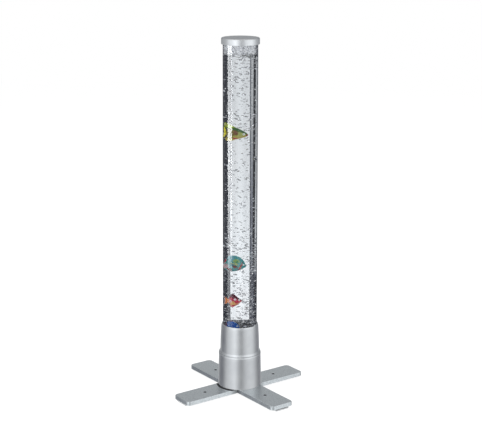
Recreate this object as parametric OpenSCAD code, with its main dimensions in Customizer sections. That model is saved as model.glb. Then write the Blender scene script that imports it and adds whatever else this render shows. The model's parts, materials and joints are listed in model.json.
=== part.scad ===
// Bubble tube floor lamp: a clear water tube with floating fish, on a round base that holds
// the air pump and the lights, carried by two crossed bars on rubber feet.
// The origin is on the floor under the tube's axis, +Z is up and the front faces -Y.

/* [Overall] */
// Height of the whole lamp above the floor
overall_h = 1045; // [700:5:1600]

/* [Tube] */
// Outer diameter of the clear tube
tube_d = 100; // [96:1:120]
// Wall thickness of the clear tube
tube_wall = 4; // [3:0.5:5]
// Thickness of the clear plate bonded into the foot of the tube
foot_plate_t = 8; // [6:0.5:12]
// Thickness of the silicone ring that the tube stands on
seal_t = 2; // [1:0.25:2.5]

/* [Top cap] */
// Height of the cap
cap_h = 17.4; // [14:0.2:30]
// Wall of the cap's skirt
cap_wall = 4.1; // [2.5:0.1:6]
// Thickness of the cap's top
cap_top_t = 2.5; // [2:0.1:4]
// Slant along the cap's upper edge
cap_bevel = 1.7; // [0.5:0.1:1.9]
// Thickness of the foam ring between cap and tube
cap_seal_t = 1; // [0.5:0.1:2]

/* [Base] */
// Height of the upper shell
upper_h = 81.6; // [60:0.2:120]
// Wall of the upper shell where its round shoulder begins
rim_wall = 4.9; // [4.2:0.1:7]
// How much the upper shell widens from shoulder to foot
upper_flare = 2.55; // [0.5:0.05:4]
// Height of the round shoulder at the top of the upper shell
shoulder_h = 14.6; // [10:0.2:20]
// Height of the trim ring that joins the shells
ring_h = 12.8; // [12:0.2:20]
// How much the trim ring widens from its top to its foot
ring_flare = 4.1; // [3:0.1:6]
// Height of the lower shell
lower_h = 93.6; // [90:0.2:120]
// Wall of the lower shell
shell_wall = 3; // [2:0.1:4]
// How much the lower shell widens from top to foot
lower_draft = 2; // [0:0.1:4]

/* [Foot] */
// Length of each crossed bar, tip to tip
bar_l = 420; // [340:2:520]
// Width of each bar
bar_w = 76; // [68:1:90]
// Thickness of each bar
bar_t = 12; // [10:0.5:16]
// Corner radius of the bars seen from above
bar_corner_r = 11; // [4:0.5:16]
// Rounding along the bars' upper edges
bar_edge_r = 1.25; // [0.5:0.25:3]
// How far the lower bar's top lies under the upper bar's
lap_step = 2; // [0.6:0.1:3]
// Height of the rubber pads under the upper bar
pad_h = 6; // [4:0.5:12]
// Length of each pad, along its bar
pad_l = 25; // [15:1:40]
// Width of each pad, across its bar
pad_w = 43; // [20:1:60]
// Diameter of the circle through the four floor fixing holes
fixing_pcd = 252; // [200:2:300]
// Diameter of each floor fixing hole
fixing_d = 8; // [4:0.5:10]

/* [Air pump] */
// Length of the pump's case
pump_l = 64; // [58:1:70]
// Width of the pump's case
pump_w = 44; // [42:1:50]
// Height of the pump's case with its cover
pump_h = 40; // [36:1:42]
// Wall of the pump's case
pump_wall = 2; // [1.5:0.25:2.5]
// Outer diameter of the silicone air hose
hose_d = 6; // [5:0.5:7]
// Bore of the silicone air hose
hose_bore = 4; // [3:0.25:4.5]

/* [Electrics] */
// Diameter of the round light board
led_board_d = 96; // [88:1:98]
// Number of lights on the light board
led_count = 12; // [6:1:16]
// Diameter of the push button
button_d = 8; // [6:0.5:9]
// Travel of the push button
button_travel = 1.5; // [1:0.1:1.8]
// Bore of the power inlet
inlet_bore = 5.5; // [5:0.1:6]

/* [Fish] */
// Nose to tail length of the yellow fish
yellow_l = 56; // [45:1:58]
// Height of the yellow fish over its fins
yellow_h = 52; // [40:1:54]
// Nose to tail length of the teal fish
teal_l = 44; // [34:1:46]
// Height of the teal fish over its fins
teal_h = 48; // [34:1:49]
// Nose to tail length of the red fish
red_l = 45; // [34:1:47]
// Height of the red fish over its fins
red_h = 40; // [28:1:42]
// Nose to tail length of the blue fish
blue_l = 38; // [30:1:40]
// Height of the blue fish over its fins
blue_h = 34; // [26:1:38]

/* [Hidden] */

// Overrun of every cut past the face that it opens
cut = 1;
// Gap between pieces that slide into each other and stay
fit_gap = 0.2;
// Gap between pieces that only pass each other
free_gap = 0.5;
// Radial gap of a moving fit
run_gap = 0.08;
// Radial gap between a screw and its thread
thread_gap = 0.05;
// Facets of the rounded corners that are blended
blend_fn = 32;

// Gap between the cap's skirt and the tube
cap_gap = 0.3;

// Heights of the stack, from the floor up
deck_z = pad_h + bar_t;
ring_z = deck_z + lower_h;
upper_z = ring_z + ring_h;
rim_z = upper_z + upper_h;
cap_z = overall_h - cap_h;
tube_top_z = overall_h - cap_top_t - cap_seal_t;

// Radii of the tube and of the shells around it
tube_r = tube_d / 2;
tube_in_r = tube_r - tube_wall;
rim_r = tube_r + free_gap;
shoulder_r = rim_r + rim_wall;
upper_foot_r = shoulder_r + upper_flare;
// Ledge that the trim ring shows around the upper shell
ring_lip = 0.3;
ring_top_r = upper_foot_r + ring_lip;
ring_r = ring_top_r + ring_flare;
// How far the trim ring stands proud of the lower shell
ring_proud = 0.25;
lower_top_r = ring_r - ring_proud;
lower_foot_r = lower_top_r + lower_draft;
lower_in_top_r = lower_top_r - shell_wall;
lower_in_foot_r = lower_foot_r - shell_wall;

// Trim ring: its web carries the tube, and its two spigots centre the shells
// Upper slope, groove and rounding of the bead of the trim ring, as shares of its height
slope_share = 0.4;
groove_share = 0.16;
bead_share = 0.12;
// How far the slope runs out, as a share of the ring's flare
run_share = 0.8;
groove_depth = 1;
// Height of the web's underside above the ring's foot
web_rise = 3.5;
// Thickness of the web
web_t = 7;
// Radial width of the web's bearing face under the tube
web_ledge_w = 8;
// Height of the upper spigot
spigot_up_h = 6;
// Height of the lower spigot
spigot_down_h = 6;
// Wall of the lower spigot
spigot_wall = 3;
web_z = ring_z + web_rise;
ledge_z = web_z + web_t;
ledge_in_r = tube_r - web_ledge_w;
// Wall of the upper spigot, between the tube and the upper shell
spigot_up_wall = 2.4;
upper_spigot_r = rim_r + spigot_up_wall;
upper_in_r = upper_spigot_r + fit_gap;
lower_spigot_r = lower_in_top_r - fit_gap;
tube_foot_z = ledge_z + seal_t;
foot_plate_z = tube_foot_z + foot_plate_t;

// Foot: the bars are half lapped where they cross
bar_angle = 45;
lower_bar_z = pad_h - lap_step;
lap_z = (pad_h + lower_bar_z + bar_t) / 2;
// Gap beside each lap
lap_gap = 0.15;
// Corner radius of the rubber pads
pad_corner_r = 1.5;
// Distance from a bar's tip to its pad
pad_inset = 0.5;
fixing_r = fixing_d / 2;

// Base plate, leg screws and shell screws
plate_t = 5;
plate_top_z = deck_z + plate_t;
leg_screw_r = 2.5;
leg_screw_head_r = 4.5;
leg_screw_head_h = 3;
leg_screw_circle_r = 24;
// Gap around a leg screw in the bars
leg_screw_gap = 0.3;
// Depth of the recess for a leg screw's head
leg_screw_seat_h = leg_screw_head_h + leg_screw_gap;
shell_screw_r = 1.5;
shell_screw_head_r = 2.8;
shell_screw_head_h = 1.8;
// Wall of plastic around a shell screw
boss_wall = 2.4;
shell_boss_h = 14;
shell_boss_r = shell_screw_r + boss_wall;
shell_boss_circle_r = lower_in_foot_r - shell_boss_r;
shell_screw_depth = 9;

// Rear of the base: board, inlet and button stand on the symmetry plane
board_t = 1.6;
board_w = 38;
board_h = 48;
board_lift = 6;
board_bottom_z = plate_top_z + board_lift;
// Distance from the lower shell's wall to the control board
board_setback = 14;
board_y = lower_in_top_r - board_setback;
tab_t = 3;
tab_w = 32;
tab_h = 14;
board_screw_r = 1.25;
board_screw_head_r = 2.4;
board_screw_head_h = 1.5;
board_screw_spacing = 25;
board_screw_rise = 10;
board_screw_z = plate_top_z + board_screw_rise;
// Heights of the inlet and the button above the board's foot
inlet_rise = 15;
button_rise = 37;
inlet_z = board_bottom_z + inlet_rise;
inlet_body_w = 10;
inlet_body_h = 11;
inlet_collar_r = 4.6;
inlet_depth = 9.5;
inlet_pin_r = 1.0;
// Gap between the inlet's body and the shell
inlet_gap = 1.2;
button_z = board_bottom_z + button_rise;
button_r = button_d / 2;
button_proud = 1.6;
// How far the button's flange reaches past its side
button_flange_w = 1.5;
button_flange_r = button_r + button_flange_w;
button_flange_t = 1.2;
button_stem_r = 1.7;
switch_w = 7;
switch_h = 5;
// Space left behind the button's stem when it is pressed home
switch_slack = 0.6;

// Light board under the web
led_board_r = led_board_d / 2;
led_board_hole_r = 11;
led_board_z = web_z - board_t;
led_circle_r = 32;
led_w = 5;
led_h = 1.6;
led_dome_r = 1.5;
led_screw_count = 3;
led_screw_circle_r = (led_board_r + ledge_in_r) / 2;

// Screws that hold the trim ring to lugs on the lower shell
ring_screw_count = 3;
// Bearing of the first lug, away from the light board's screws
lug_angle = 30;
lug_t = 5;
lug_r = 4.4;
lug_circle_r = lower_in_top_r - lug_r;
lug_z = ring_z - spigot_down_h - fit_gap - lug_t;

// Air inlet in the middle of the foot plate
nozzle_shank_r = 5;
nozzle_flange_r = 12;
nozzle_flange_t = 3;
nozzle_nut_w = 16;
nozzle_nut_t = 5;
barb_r = hose_bore / 2;
barb_l = 7;
// Length of the nozzle's shank under the foot plate
shank_under = 8;
shank_foot_z = tube_foot_z - shank_under;
// Radius of the nozzle's own air bore
nozzle_bore_r = 1.2;
stone_r = 17;
stone_h = 10;
stone_edge = 1.5;

// Hoses: the upper one turns from the nozzle to the valve, the lower one from valve to pump
hose_r = hose_d / 2;
hose_grip = 6;
hose_bend_r = 10;
valve_r = 7;
valve_body_l = 12;
// Height of the pump's rubber feet
pump_foot_h = 3;
pump_z = plate_top_z + pump_foot_h;
// Place of the pump's middle
pump_x = -12;
pump_y = -8;
outlet_share = 0.6;
outlet_z = pump_z + outlet_share * pump_h;
barb_tip_z = shank_foot_z - barb_l;
// Radius of the lower hose's turn back to the pump
turn_r = 20;
valve_z = outlet_z + 2 * turn_r;
valve_x = hose_bend_r + hose_grip;
turn_x = valve_x + valve_body_l + hose_grip;
pump_face_x = pump_x + pump_l / 2;

// Pump parts, placed from the middle of the pump's floor
pump_corner_r = 6;
case_share = 0.7;
case_h = case_share * pump_h;
pump_foot_r = 4;
pump_foot_inset = 9;
coil_l = 16;
coil_w = 18;
coil_h = 22;
core_w = 7;
core_l = 19;
arm_t = 2;
arm_h = 10;
arm_y = -6;
pivot_r = 2;
pivot_eye_r = 4.5;
pivot_inset = 7;
pivot_shoulder_r = 3.5;
pivot_x = pump_l / 2 - pump_wall - pivot_inset;
magnet_l = 6;
magnet_w = 8;
magnet_gap = 3;
coil_clear = 2;
coil_back_x = pump_wall + coil_clear - pump_l / 2;
coil_tip_x = coil_back_x + core_l;
magnet_x = coil_tip_x + magnet_gap;
mid_z = pump_z + pump_wall + coil_h / 2;
diaphragm_r = 8;
diaphragm_l = 6;
diaphragm_x = 8;
disc_t = 1.5;
valve_box_w = 20;
valve_box_t = 12;
valve_box_wall = 1.5;
arm_face_y = arm_y + arm_t / 2;
disc_face_y = arm_face_y + disc_t;
valve_box_y = disc_face_y + diaphragm_l;

// Leads inside the base
lead_r = 1.4;
lead_plug_w = 7;
lead_plug_t = 4;
lead_plug_h = 5;

// Shapes of the fish, as shares of length and height: nose 0, tail tip 1, belly 0, back 1.
// Body: place along the fish, lower edge, upper edge, share of the fish's thickness.
yellow_body_shares = [[0, 0.37, 0.41, 0.15], [0.05, 0.31, 0.48, 0.42], [0.15, 0.25, 0.57, 0.72],
    [0.28, 0.18, 0.66, 0.95], [0.42, 0.12, 0.74, 1], [0.56, 0.11, 0.76, 0.9],
    [0.68, 0.19, 0.7, 0.6], [0.78, 0.29, 0.58, 0.34], [0.85, 0.34, 0.52, 0.2]];
yellow_fin_shares = [
    [[0.36, 0.68], [0.5, 0.77], [0.62, 0.85], [0.75, 0.95], [0.86, 1], [0.95, 0.98], [0.93, 0.86],
    [0.84, 0.7], [0.72, 0.6]],
    [[0.42, 0.14], [0.55, 0.05], [0.68, 0], [0.8, 0.02], [0.86, 0.1], [0.8, 0.22], [0.72, 0.3]],
    [[0.8, 0.52], [0.92, 0.72], [1, 0.78], [0.95, 0.46], [1, 0.14], [0.92, 0.18], [0.8, 0.35]]];
teal_body_shares = [[0, 0.45, 0.5, 0.15], [0.05, 0.38, 0.58, 0.42], [0.15, 0.24, 0.73, 0.72],
    [0.29, 0.11, 0.87, 0.95], [0.45, 0.05, 0.94, 1], [0.6, 0.07, 0.92, 0.92],
    [0.72, 0.17, 0.83, 0.66], [0.81, 0.3, 0.7, 0.38], [0.88, 0.39, 0.61, 0.22]];
teal_fin_shares = [
    [[0.3, 0.86], [0.45, 0.97], [0.6, 1], [0.75, 0.99], [0.88, 0.93], [0.95, 0.8], [0.9, 0.68],
    [0.82, 0.62]],
    [[0.3, 0.12], [0.45, 0.02], [0.6, 0], [0.76, 0.02], [0.88, 0.08], [0.95, 0.2], [0.9, 0.32],
    [0.82, 0.38]],
    [[0.85, 0.6], [0.95, 0.68], [1, 0.66], [0.98, 0.5], [1, 0.34], [0.95, 0.32], [0.85, 0.4]]];
red_body_shares = [[0, 0.44, 0.5, 0.15], [0.06, 0.36, 0.58, 0.45], [0.17, 0.23, 0.72, 0.78],
    [0.3, 0.11, 0.87, 1], [0.42, 0.06, 0.93, 1], [0.54, 0.15, 0.8, 0.8],
    [0.65, 0.28, 0.66, 0.5], [0.74, 0.35, 0.58, 0.3]];
red_fin_shares = [
    [[0.24, 0.78], [0.36, 0.95], [0.46, 1], [0.6, 0.86], [0.66, 0.64]],
    [[0.28, 0.14], [0.42, 0.03], [0.52, 0], [0.6, 0.1], [0.62, 0.3]],
    [[0.72, 0.55], [0.85, 0.76], [1, 0.84], [0.94, 0.5], [1, 0.2], [0.86, 0.22], [0.72, 0.38]]];
blue_body_shares = [[0, 0.43, 0.5, 0.15], [0.05, 0.34, 0.6, 0.45], [0.15, 0.21, 0.75, 0.76],
    [0.29, 0.11, 0.87, 0.96], [0.44, 0.07, 0.92, 1], [0.58, 0.11, 0.88, 0.86],
    [0.7, 0.22, 0.76, 0.56], [0.79, 0.35, 0.62, 0.3], [0.85, 0.4, 0.57, 0.2]];
blue_fin_shares = [
    [[0.26, 0.84], [0.42, 0.97], [0.56, 1], [0.7, 0.94], [0.78, 0.78], [0.74, 0.66]],
    [[0.3, 0.12], [0.44, 0.02], [0.58, 0], [0.7, 0.07], [0.77, 0.22], [0.72, 0.34]],
    [[0.83, 0.56], [0.92, 0.78], [1, 0.84], [0.95, 0.49], [1, 0.14], [0.92, 0.2], [0.83, 0.42]]];
// Thickness of a fish's body, as a share of its height
fish_thick_share = 0.19;
fin_t = 1.4;
slice_t = 0.2;
slice_fn = 20;
// Side fins: place along the fish and up it, length and height, as shares
side_fin_shares = [0.5, 0.42, 0.2, 0.1];
// How far the side fins stand out of the body
side_fin_proud = 0.8;
// The fish float side by side, each in its own lane across the tube, so that they can pass.
// Lanes lie across the direction that the fish face; the blue one's is nearest the front.
fish_turn = 9;
lane_gap = 1.3;
function lane_w(h) = fish_thick_share * h + 2 * side_fin_proud;
lanes_w = lane_w(blue_h) + lane_w(red_h) + lane_w(yellow_h) + lane_w(teal_h) + 3 * lane_gap;
blue_lane = (lane_w(blue_h) - lanes_w) / 2;
red_lane = blue_lane + (lane_w(blue_h) + lane_w(red_h)) / 2 + lane_gap;
yellow_lane = red_lane + (lane_w(red_h) + lane_w(yellow_h)) / 2 + lane_gap;
teal_lane = yellow_lane + (lane_w(yellow_h) + lane_w(teal_h)) / 2 + lane_gap;
// Middle of each fish: how far it is ahead of the tube's axis, and its height
yellow_ahead = -11;
yellow_z = 778;
teal_ahead = -9.2;
teal_z = 386;
red_ahead = -18.3;
red_z = 280;
blue_ahead = -20;
blue_z = 203;
// How far each fish's nose points down, in degrees
yellow_dip = 4;
teal_dip = 18;
red_dip = -2;
blue_dip = 2;

module ring_of(outer_r, inner_r, h, z) {
    translate([0, 0, z]) difference() {
        cylinder(r = outer_r, h = h, $fn = 96);
        translate([0, 0, -cut]) cylinder(r = inner_r, h = h + 2 * cut, $fn = 96);
    }
}

module around(count, radius, start = 0) {
    for (i = [0 : count - 1]) rotate([0, 0, start + i * 360 / count]) translate([radius, 0, 0]) children();
}

module rounded_rect(l, w, r) {
    square([l - 2 * r, w], center = true);
    square([l, w - 2 * r], center = true);
    for (sx = [-1, 1]) for (sy = [-1, 1])
        translate([sx * (l / 2 - r), sy * (w / 2 - r)]) circle(r = r, $fn = 48);
}

module rounded_block(l, w, h, r) {
    linear_extrude(h) rounded_rect(l, w, r);
}

module rearward(x, y, z) {
    translate([x, y, z]) rotate([-90, 0, 0]) children();
}

// Crossed bars
module bar_corner() {
    steps = 4;
    arc = [for (i = [0 : steps]) let (a = i * 90 / steps)
        [bar_corner_r - bar_edge_r * (1 - cos(a)), bar_t - bar_edge_r * (1 - sin(a))]];
    low = bar_edge_r / 4;
    rotate_extrude($fn = blend_fn)
        polygon(concat([[0, 0], [bar_corner_r - low, 0], [bar_corner_r, low]], arc, [[0, bar_t]]));
}

module bar_blank(z) {
    translate([0, 0, z]) hull() for (sx = [-1, 1]) for (sy = [-1, 1])
        translate([sx * (bar_l / 2 - bar_corner_r), sy * (bar_w / 2 - bar_corner_r), 0]) bar_corner();
}

module bar_holes() {
    around(2, fixing_pcd / 2) translate([0, 0, -cut])
        cylinder(r = fixing_r, h = deck_z + 2 * cut, $fn = 48);
    around(4, leg_screw_circle_r, bar_angle) translate([0, 0, -cut])
        cylinder(r = leg_screw_r + leg_screw_gap, h = deck_z + 2 * cut, $fn = 48);
}

module lap_box(z0, z1) {
    w = bar_w + 2 * lap_gap;
    translate([-w / 2, -bar_w, z0]) cube([w, 2 * bar_w, z1 - z0]);
}

module leg_bar_upper() {
    color("silver") rotate([0, 0, -bar_angle]) difference() {
        bar_blank(pad_h);
        lap_box(pad_h - cut, lap_z);
        bar_holes();
    }
}

module leg_bar_lower() {
    color("silver") rotate([0, 0, bar_angle]) difference() {
        bar_blank(lower_bar_z);
        lap_box(lap_z, deck_z + cut);
        bar_holes();
        around(4, leg_screw_circle_r, bar_angle) translate([0, 0, lower_bar_z - cut])
            cylinder(r = leg_screw_head_r + leg_screw_gap, h = leg_screw_seat_h + cut, $fn = 48);
    }
}

module foot_pad(angle, h) {
    color("darkgray") rotate([0, 0, angle]) translate([bar_l / 2 - pad_inset - pad_l / 2, 0, 0])
        rounded_block(pad_l, pad_w, h, pad_corner_r);
}

module foot_pad_front_left() { foot_pad(180 + bar_angle, lower_bar_z); }
module foot_pad_front_right() { foot_pad(-bar_angle, pad_h); }
module foot_pad_rear_left() { foot_pad(180 - bar_angle, pad_h); }
module foot_pad_rear_right() { foot_pad(bar_angle, lower_bar_z); }

// Base plate: steel disc on the crossed bars, with a tab for the control board
module base_plate() {
    color("gray") difference() {
        union() {
            translate([0, 0, deck_z]) cylinder(r = lower_in_foot_r - free_gap, h = plate_t, $fn = 96);
            translate([-tab_w / 2, board_y - tab_t, plate_top_z - cut]) cube([tab_w, tab_t, tab_h + cut]);
        }
        around(4, leg_screw_circle_r) translate([0, 0, deck_z - cut])
            cylinder(r = leg_screw_r + thread_gap, h = plate_t + 2 * cut, $fn = 48);
        around(4, shell_boss_circle_r) translate([0, 0, deck_z - cut])
            cylinder(r = shell_screw_r + fit_gap, h = plate_t + 2 * cut, $fn = 48);
        around(4, shell_boss_circle_r) translate([0, 0, deck_z - cut])
            cylinder(r = shell_screw_head_r + fit_gap, h = shell_screw_head_h + cut, $fn = 48);
        for (side = [-1, 1]) rearward(side * board_screw_spacing / 2, board_y - tab_t - cut, board_screw_z)
            cylinder(r = board_screw_r + thread_gap, h = tab_t + 2 * cut, $fn = 48);
    }
}

module screw(shank_r, shank_l, head_r, head_h) {
    cylinder(r = head_r, h = head_h, $fn = 32);
    cylinder(r = shank_r, h = head_h + shank_l, $fn = 32);
}

module leg_screws() {
    head_z = lower_bar_z + leg_screw_gap;
    color("darkgray") around(4, leg_screw_circle_r) translate([0, 0, head_z])
        screw(leg_screw_r, plate_top_z - head_z - leg_screw_head_h, leg_screw_head_r, leg_screw_head_h);
}

module shell_screws() {
    shank = plate_t - shell_screw_head_h + shell_screw_depth;
    color("darkgray") around(4, shell_boss_circle_r) translate([0, 0, deck_z])
        screw(shell_screw_r, shank, shell_screw_head_r, shell_screw_head_h);
}

// Lower shell: drafted round housing with screw bosses and lugs inside
module lower_outline() {
    foot_r = shell_wall / 2;
    steps = 6;
    arc = [for (i = [0 : steps]) let (a = i * 90 / steps)
        [lower_foot_r - foot_r * (1 - sin(a)), deck_z + foot_r * (1 - cos(a))]];
    polygon(concat([[lower_in_foot_r, deck_z]], arc, [[lower_top_r, ring_z], [lower_in_top_r, ring_z]]));
}

module lower_shell() {
    boss_top = plate_top_z + shell_boss_h;
    color("silver") difference() {
        union() {
            rotate_extrude($fn = 96) lower_outline();
            around(4, shell_boss_circle_r) translate([0, 0, plate_top_z])
                shell_boss(shell_boss_r, shell_boss_h);
            around(ring_screw_count, lug_circle_r, lug_angle) translate([0, 0, lug_z])
                shell_boss(lug_r, lug_t);
        }
        around(4, shell_boss_circle_r) translate([0, 0, plate_top_z - cut])
            cylinder(r = shell_screw_r + thread_gap, h = shell_screw_depth + 2 * cut, $fn = 32);
        around(ring_screw_count, lug_circle_r, lug_angle) translate([0, 0, lug_z - cut])
            cylinder(r = shell_screw_r + fit_gap, h = lug_t + 2 * cut, $fn = 32);
        rearward(0, board_y, inlet_z) cylinder(r = inlet_collar_r + fit_gap, h = lower_foot_r, $fn = 48);
        rearward(0, board_y, button_z) cylinder(r = button_r + run_gap, h = lower_foot_r, $fn = 48);
    }
}

// A boss that runs into the shell's wall
module shell_boss(r, h) {
    cylinder(r = r, h = h, $fn = 32);
    translate([0, -r, 0]) cube([r + shell_wall / 2, 2 * r, h]);
}

// Trim ring: a slope, a groove and a bead outside, a web under the tube and two spigots
module trim_outline() {
    slope_z = upper_z - slope_share * ring_h;
    slope_r = ring_top_r + run_share * ring_flare;
    groove_r = slope_r - groove_depth;
    bead_z = slope_z - groove_share * ring_h;
    round_h = bead_share * ring_h;
    steps = 6;
    bead = [for (i = [0 : steps]) let (a = i * 90 / steps)
        [slope_r + (ring_r - slope_r) * sin(a), bead_z - round_h * (1 - cos(a))]];
    polygon(concat([[ledge_in_r, web_z], [ledge_in_r, ledge_z], [rim_r, ledge_z],
        [rim_r, upper_z + spigot_up_h], [upper_spigot_r, upper_z + spigot_up_h],
        [upper_spigot_r, upper_z], [ring_top_r - ring_lip / 2, upper_z],
        [ring_top_r, upper_z - ring_lip / 2], [slope_r, slope_z], [groove_r, slope_z - fit_gap],
        [groove_r, bead_z]], bead, [[ring_r, ring_z + ring_lip], [ring_r - ring_lip, ring_z],
        [lower_spigot_r, ring_z], [lower_spigot_r, ring_z - spigot_down_h],
        [lower_spigot_r - spigot_wall, ring_z - spigot_down_h], [lower_spigot_r - spigot_wall, web_z]]));
}

module trim_ring() {
    boss_h = web_z - ring_z + spigot_down_h;
    color("silver") difference() {
        union() {
            rotate_extrude($fn = 96) trim_outline();
            around(ring_screw_count, lug_circle_r, lug_angle) translate([0, 0, web_z - boss_h])
                cylinder(r = lug_r - fit_gap, h = boss_h + web_t / 2, $fn = 32);
        }
        around(ring_screw_count, lug_circle_r, lug_angle) translate([0, 0, web_z - boss_h - cut])
            cylinder(r = shell_screw_r + thread_gap, h = boss_h + cut, $fn = 32);
        around(led_screw_count, led_screw_circle_r) translate([0, 0, web_z - cut])
            cylinder(r = board_screw_r + thread_gap, h = web_t / 2 + cut, $fn = 32);
    }
}

module ring_screws() {
    shank = lug_t + web_rise + spigot_down_h;
    color("darkgray") around(ring_screw_count, lug_circle_r, lug_angle)
        translate([0, 0, lug_z - shell_screw_head_h])
            screw(shell_screw_r, shank, shell_screw_head_r, shell_screw_head_h);
}

// Upper shell: tapers up to a round shoulder and a lip around the tube
upper_shares = [[0, 1], [0.38, 0.75], [0.65, 0.5], [0.86, 0.23], [1, 0]];
module upper_outline() {
    lip_h = shoulder_h / 2;
    lip_top_r = rim_r + rim_wall / 4;
    shoulder_z = rim_z - shoulder_h;
    steps = 8;
    side_h = shoulder_z - upper_z;
    side = [for (s = upper_shares) [shoulder_r + s[1] * upper_flare, upper_z + s[0] * side_h]];
    arc = [for (i = [1 : steps]) let (a = i * 90 / steps)
        [lip_top_r + (shoulder_r - lip_top_r) * cos(a), shoulder_z + shoulder_h * sin(a)]];
    polygon(concat(side, arc, [[rim_r, rim_z - fit_gap], [rim_r, rim_z - lip_h],
        [upper_in_r, rim_z - lip_h], [upper_in_r, upper_z]]));
}

module upper_shell() {
    color("silver") rotate_extrude($fn = 96) upper_outline();
}

// Tube, its seal and its foot plate
module tube_seal() {
    color("white") ring_of(tube_r, ledge_in_r + free_gap, seal_t, ledge_z);
}

module acrylic_tube() {
    color("lightcyan", 0.35) ring_of(tube_r, tube_in_r, tube_top_z - tube_foot_z, tube_foot_z);
}

module tube_foot_plate() {
    color("lightcyan", 0.35) ring_of(tube_in_r, nozzle_shank_r, foot_plate_t, tube_foot_z);
}

// Air inlet: flanged nozzle, nut, bubble stone, valve and hoses
module air_inlet_nozzle() {
    color("white") difference() {
        union() {
            translate([0, 0, foot_plate_z])
                cylinder(r = nozzle_flange_r, h = nozzle_flange_t, $fn = 48);
            translate([0, 0, shank_foot_z])
                cylinder(r = nozzle_shank_r, h = foot_plate_z - shank_foot_z, $fn = 48);
            translate([0, 0, barb_tip_z]) cylinder(r = barb_r, h = barb_l, $fn = 32);
        }
        translate([0, 0, barb_tip_z - cut])
            cylinder(r = nozzle_bore_r, h = foot_plate_z + nozzle_flange_t - barb_tip_z + 2 * cut, $fn = 32);
    }
}

module nozzle_nut() {
    color("white") translate([0, 0, tube_foot_z - nozzle_nut_t]) difference() {
        cylinder(d = nozzle_nut_w, h = nozzle_nut_t, $fn = 6);
        translate([0, 0, -cut])
            cylinder(r = nozzle_shank_r + thread_gap, h = nozzle_nut_t + 2 * cut, $fn = 48);
    }
}

module bubble_stone() {
    color("gainsboro") translate([0, 0, foot_plate_z + nozzle_flange_t]) rotate_extrude($fn = 64)
        polygon([[0, 0], [stone_r - stone_edge, 0], [stone_r, stone_edge],
            [stone_r, stone_h - stone_edge], [stone_r - stone_edge, stone_h], [0, stone_h]]);
}

module check_valve() {
    color("ivory") translate([valve_x, 0, valve_z]) rotate([0, 90, 0]) union() {
        translate([0, 0, -hose_grip]) cylinder(r = barb_r, h = valve_body_l + 2 * hose_grip, $fn = 32);
        rotate_extrude($fn = 48) polygon([[0, 0], [hose_r, 0], [valve_r, valve_r - hose_r],
            [valve_r, valve_body_l - valve_r + hose_r], [hose_r, valve_body_l], [0, valve_body_l]]);
    }
}

module hose_section() {
    difference() {
        circle(r = hose_r, $fn = 32);
        circle(r = barb_r, $fn = 32);
    }
}

module hose_run(l) {
    linear_extrude(l) hose_section();
}

// A bend of the hose about (x, z), from the start angle through the given angle
module hose_bend(x, z, radius, start, angle) {
    translate([x, 0, z]) rotate([90, 0, 0]) rotate([0, 0, start]) rotate_extrude(angle = angle, $fn = 64)
        translate([radius, 0]) hose_section();
}

module air_hose_upper() {
    bend_z = valve_z + hose_bend_r;
    color("white") union() {
        translate([0, 0, bend_z]) hose_run(barb_tip_z + hose_grip - bend_z);
        hose_bend(hose_bend_r, bend_z, hose_bend_r, 180, 90);
        translate([hose_bend_r, 0, valve_z]) rotate([0, 90, 0]) hose_run(hose_grip);
    }
}

module air_hose_lower() {
    end_x = pump_face_x + free_gap;
    color("white") union() {
        translate([turn_x - hose_grip, 0, valve_z]) rotate([0, 90, 0]) hose_run(hose_grip);
        hose_bend(turn_x, outlet_z + turn_r, turn_r, -90, 180);
        translate([end_x, 0, outlet_z]) rotate([0, 90, 0]) hose_run(turn_x - end_x);
    }
}

// Air pump: an electromagnet swings the arm, which works the diaphragm on the valve box
module pump_feet() {
    dx = pump_l / 2 - pump_foot_inset;
    dy = pump_w / 2 - pump_foot_inset;
    color("dimgray") for (sx = [-1, 1]) for (sy = [-1, 1])
        translate([pump_x + sx * dx, pump_y + sy * dy, plate_top_z])
            cylinder(r = pump_foot_r, h = pump_foot_h, $fn = 32);
}

module pump_case() {
    floor_z = pump_z + pump_wall;
    color("black") difference() {
        union() {
            difference() {
                translate([pump_x, pump_y, pump_z]) rounded_block(pump_l, pump_w, case_h, pump_corner_r);
                translate([pump_x, pump_y, floor_z]) rounded_block(pump_l - 2 * pump_wall,
                    pump_w - 2 * pump_wall, case_h, pump_corner_r - pump_wall);
            }
            translate([pump_x + pivot_x, pump_y + arm_y, pump_z])
                cylinder(r = pivot_r, h = case_h, $fn = 48);
            translate([pump_x + pivot_x, pump_y + arm_y, pump_z])
                cylinder(r = pivot_shoulder_r, h = mid_z - arm_h / 2 - fit_gap - pump_z, $fn = 48);
        }
        translate([pump_face_x - pump_wall - cut, 0, outlet_z]) rotate([0, 90, 0])
            cylinder(r = barb_r + fit_gap, h = pump_wall + 2 * cut, $fn = 32);
    }
}

module pump_cover() {
    cover_h = pump_h - case_h;
    color("black") translate([pump_x, pump_y, pump_z + case_h]) difference() {
        rounded_block(pump_l, pump_w, cover_h, pump_corner_r);
        translate([0, 0, -cut]) rounded_block(pump_l - 2 * pump_wall, pump_w - 2 * pump_wall,
            cover_h - pump_wall + cut, pump_corner_r - pump_wall);
    }
}

module pump_coil() {
    color("darkred") translate([pump_x + coil_tip_x, pump_y + arm_y, mid_z]) union() {
        translate([-core_l, -core_w / 2, -core_w / 2]) cube([core_l, core_w, core_w]);
        translate([-core_l, 0, -coil_h / 2]) translate([coil_l / 2, 0, 0])
            rounded_block(coil_l, coil_w, coil_h, pump_corner_r);
    }
}

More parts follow.
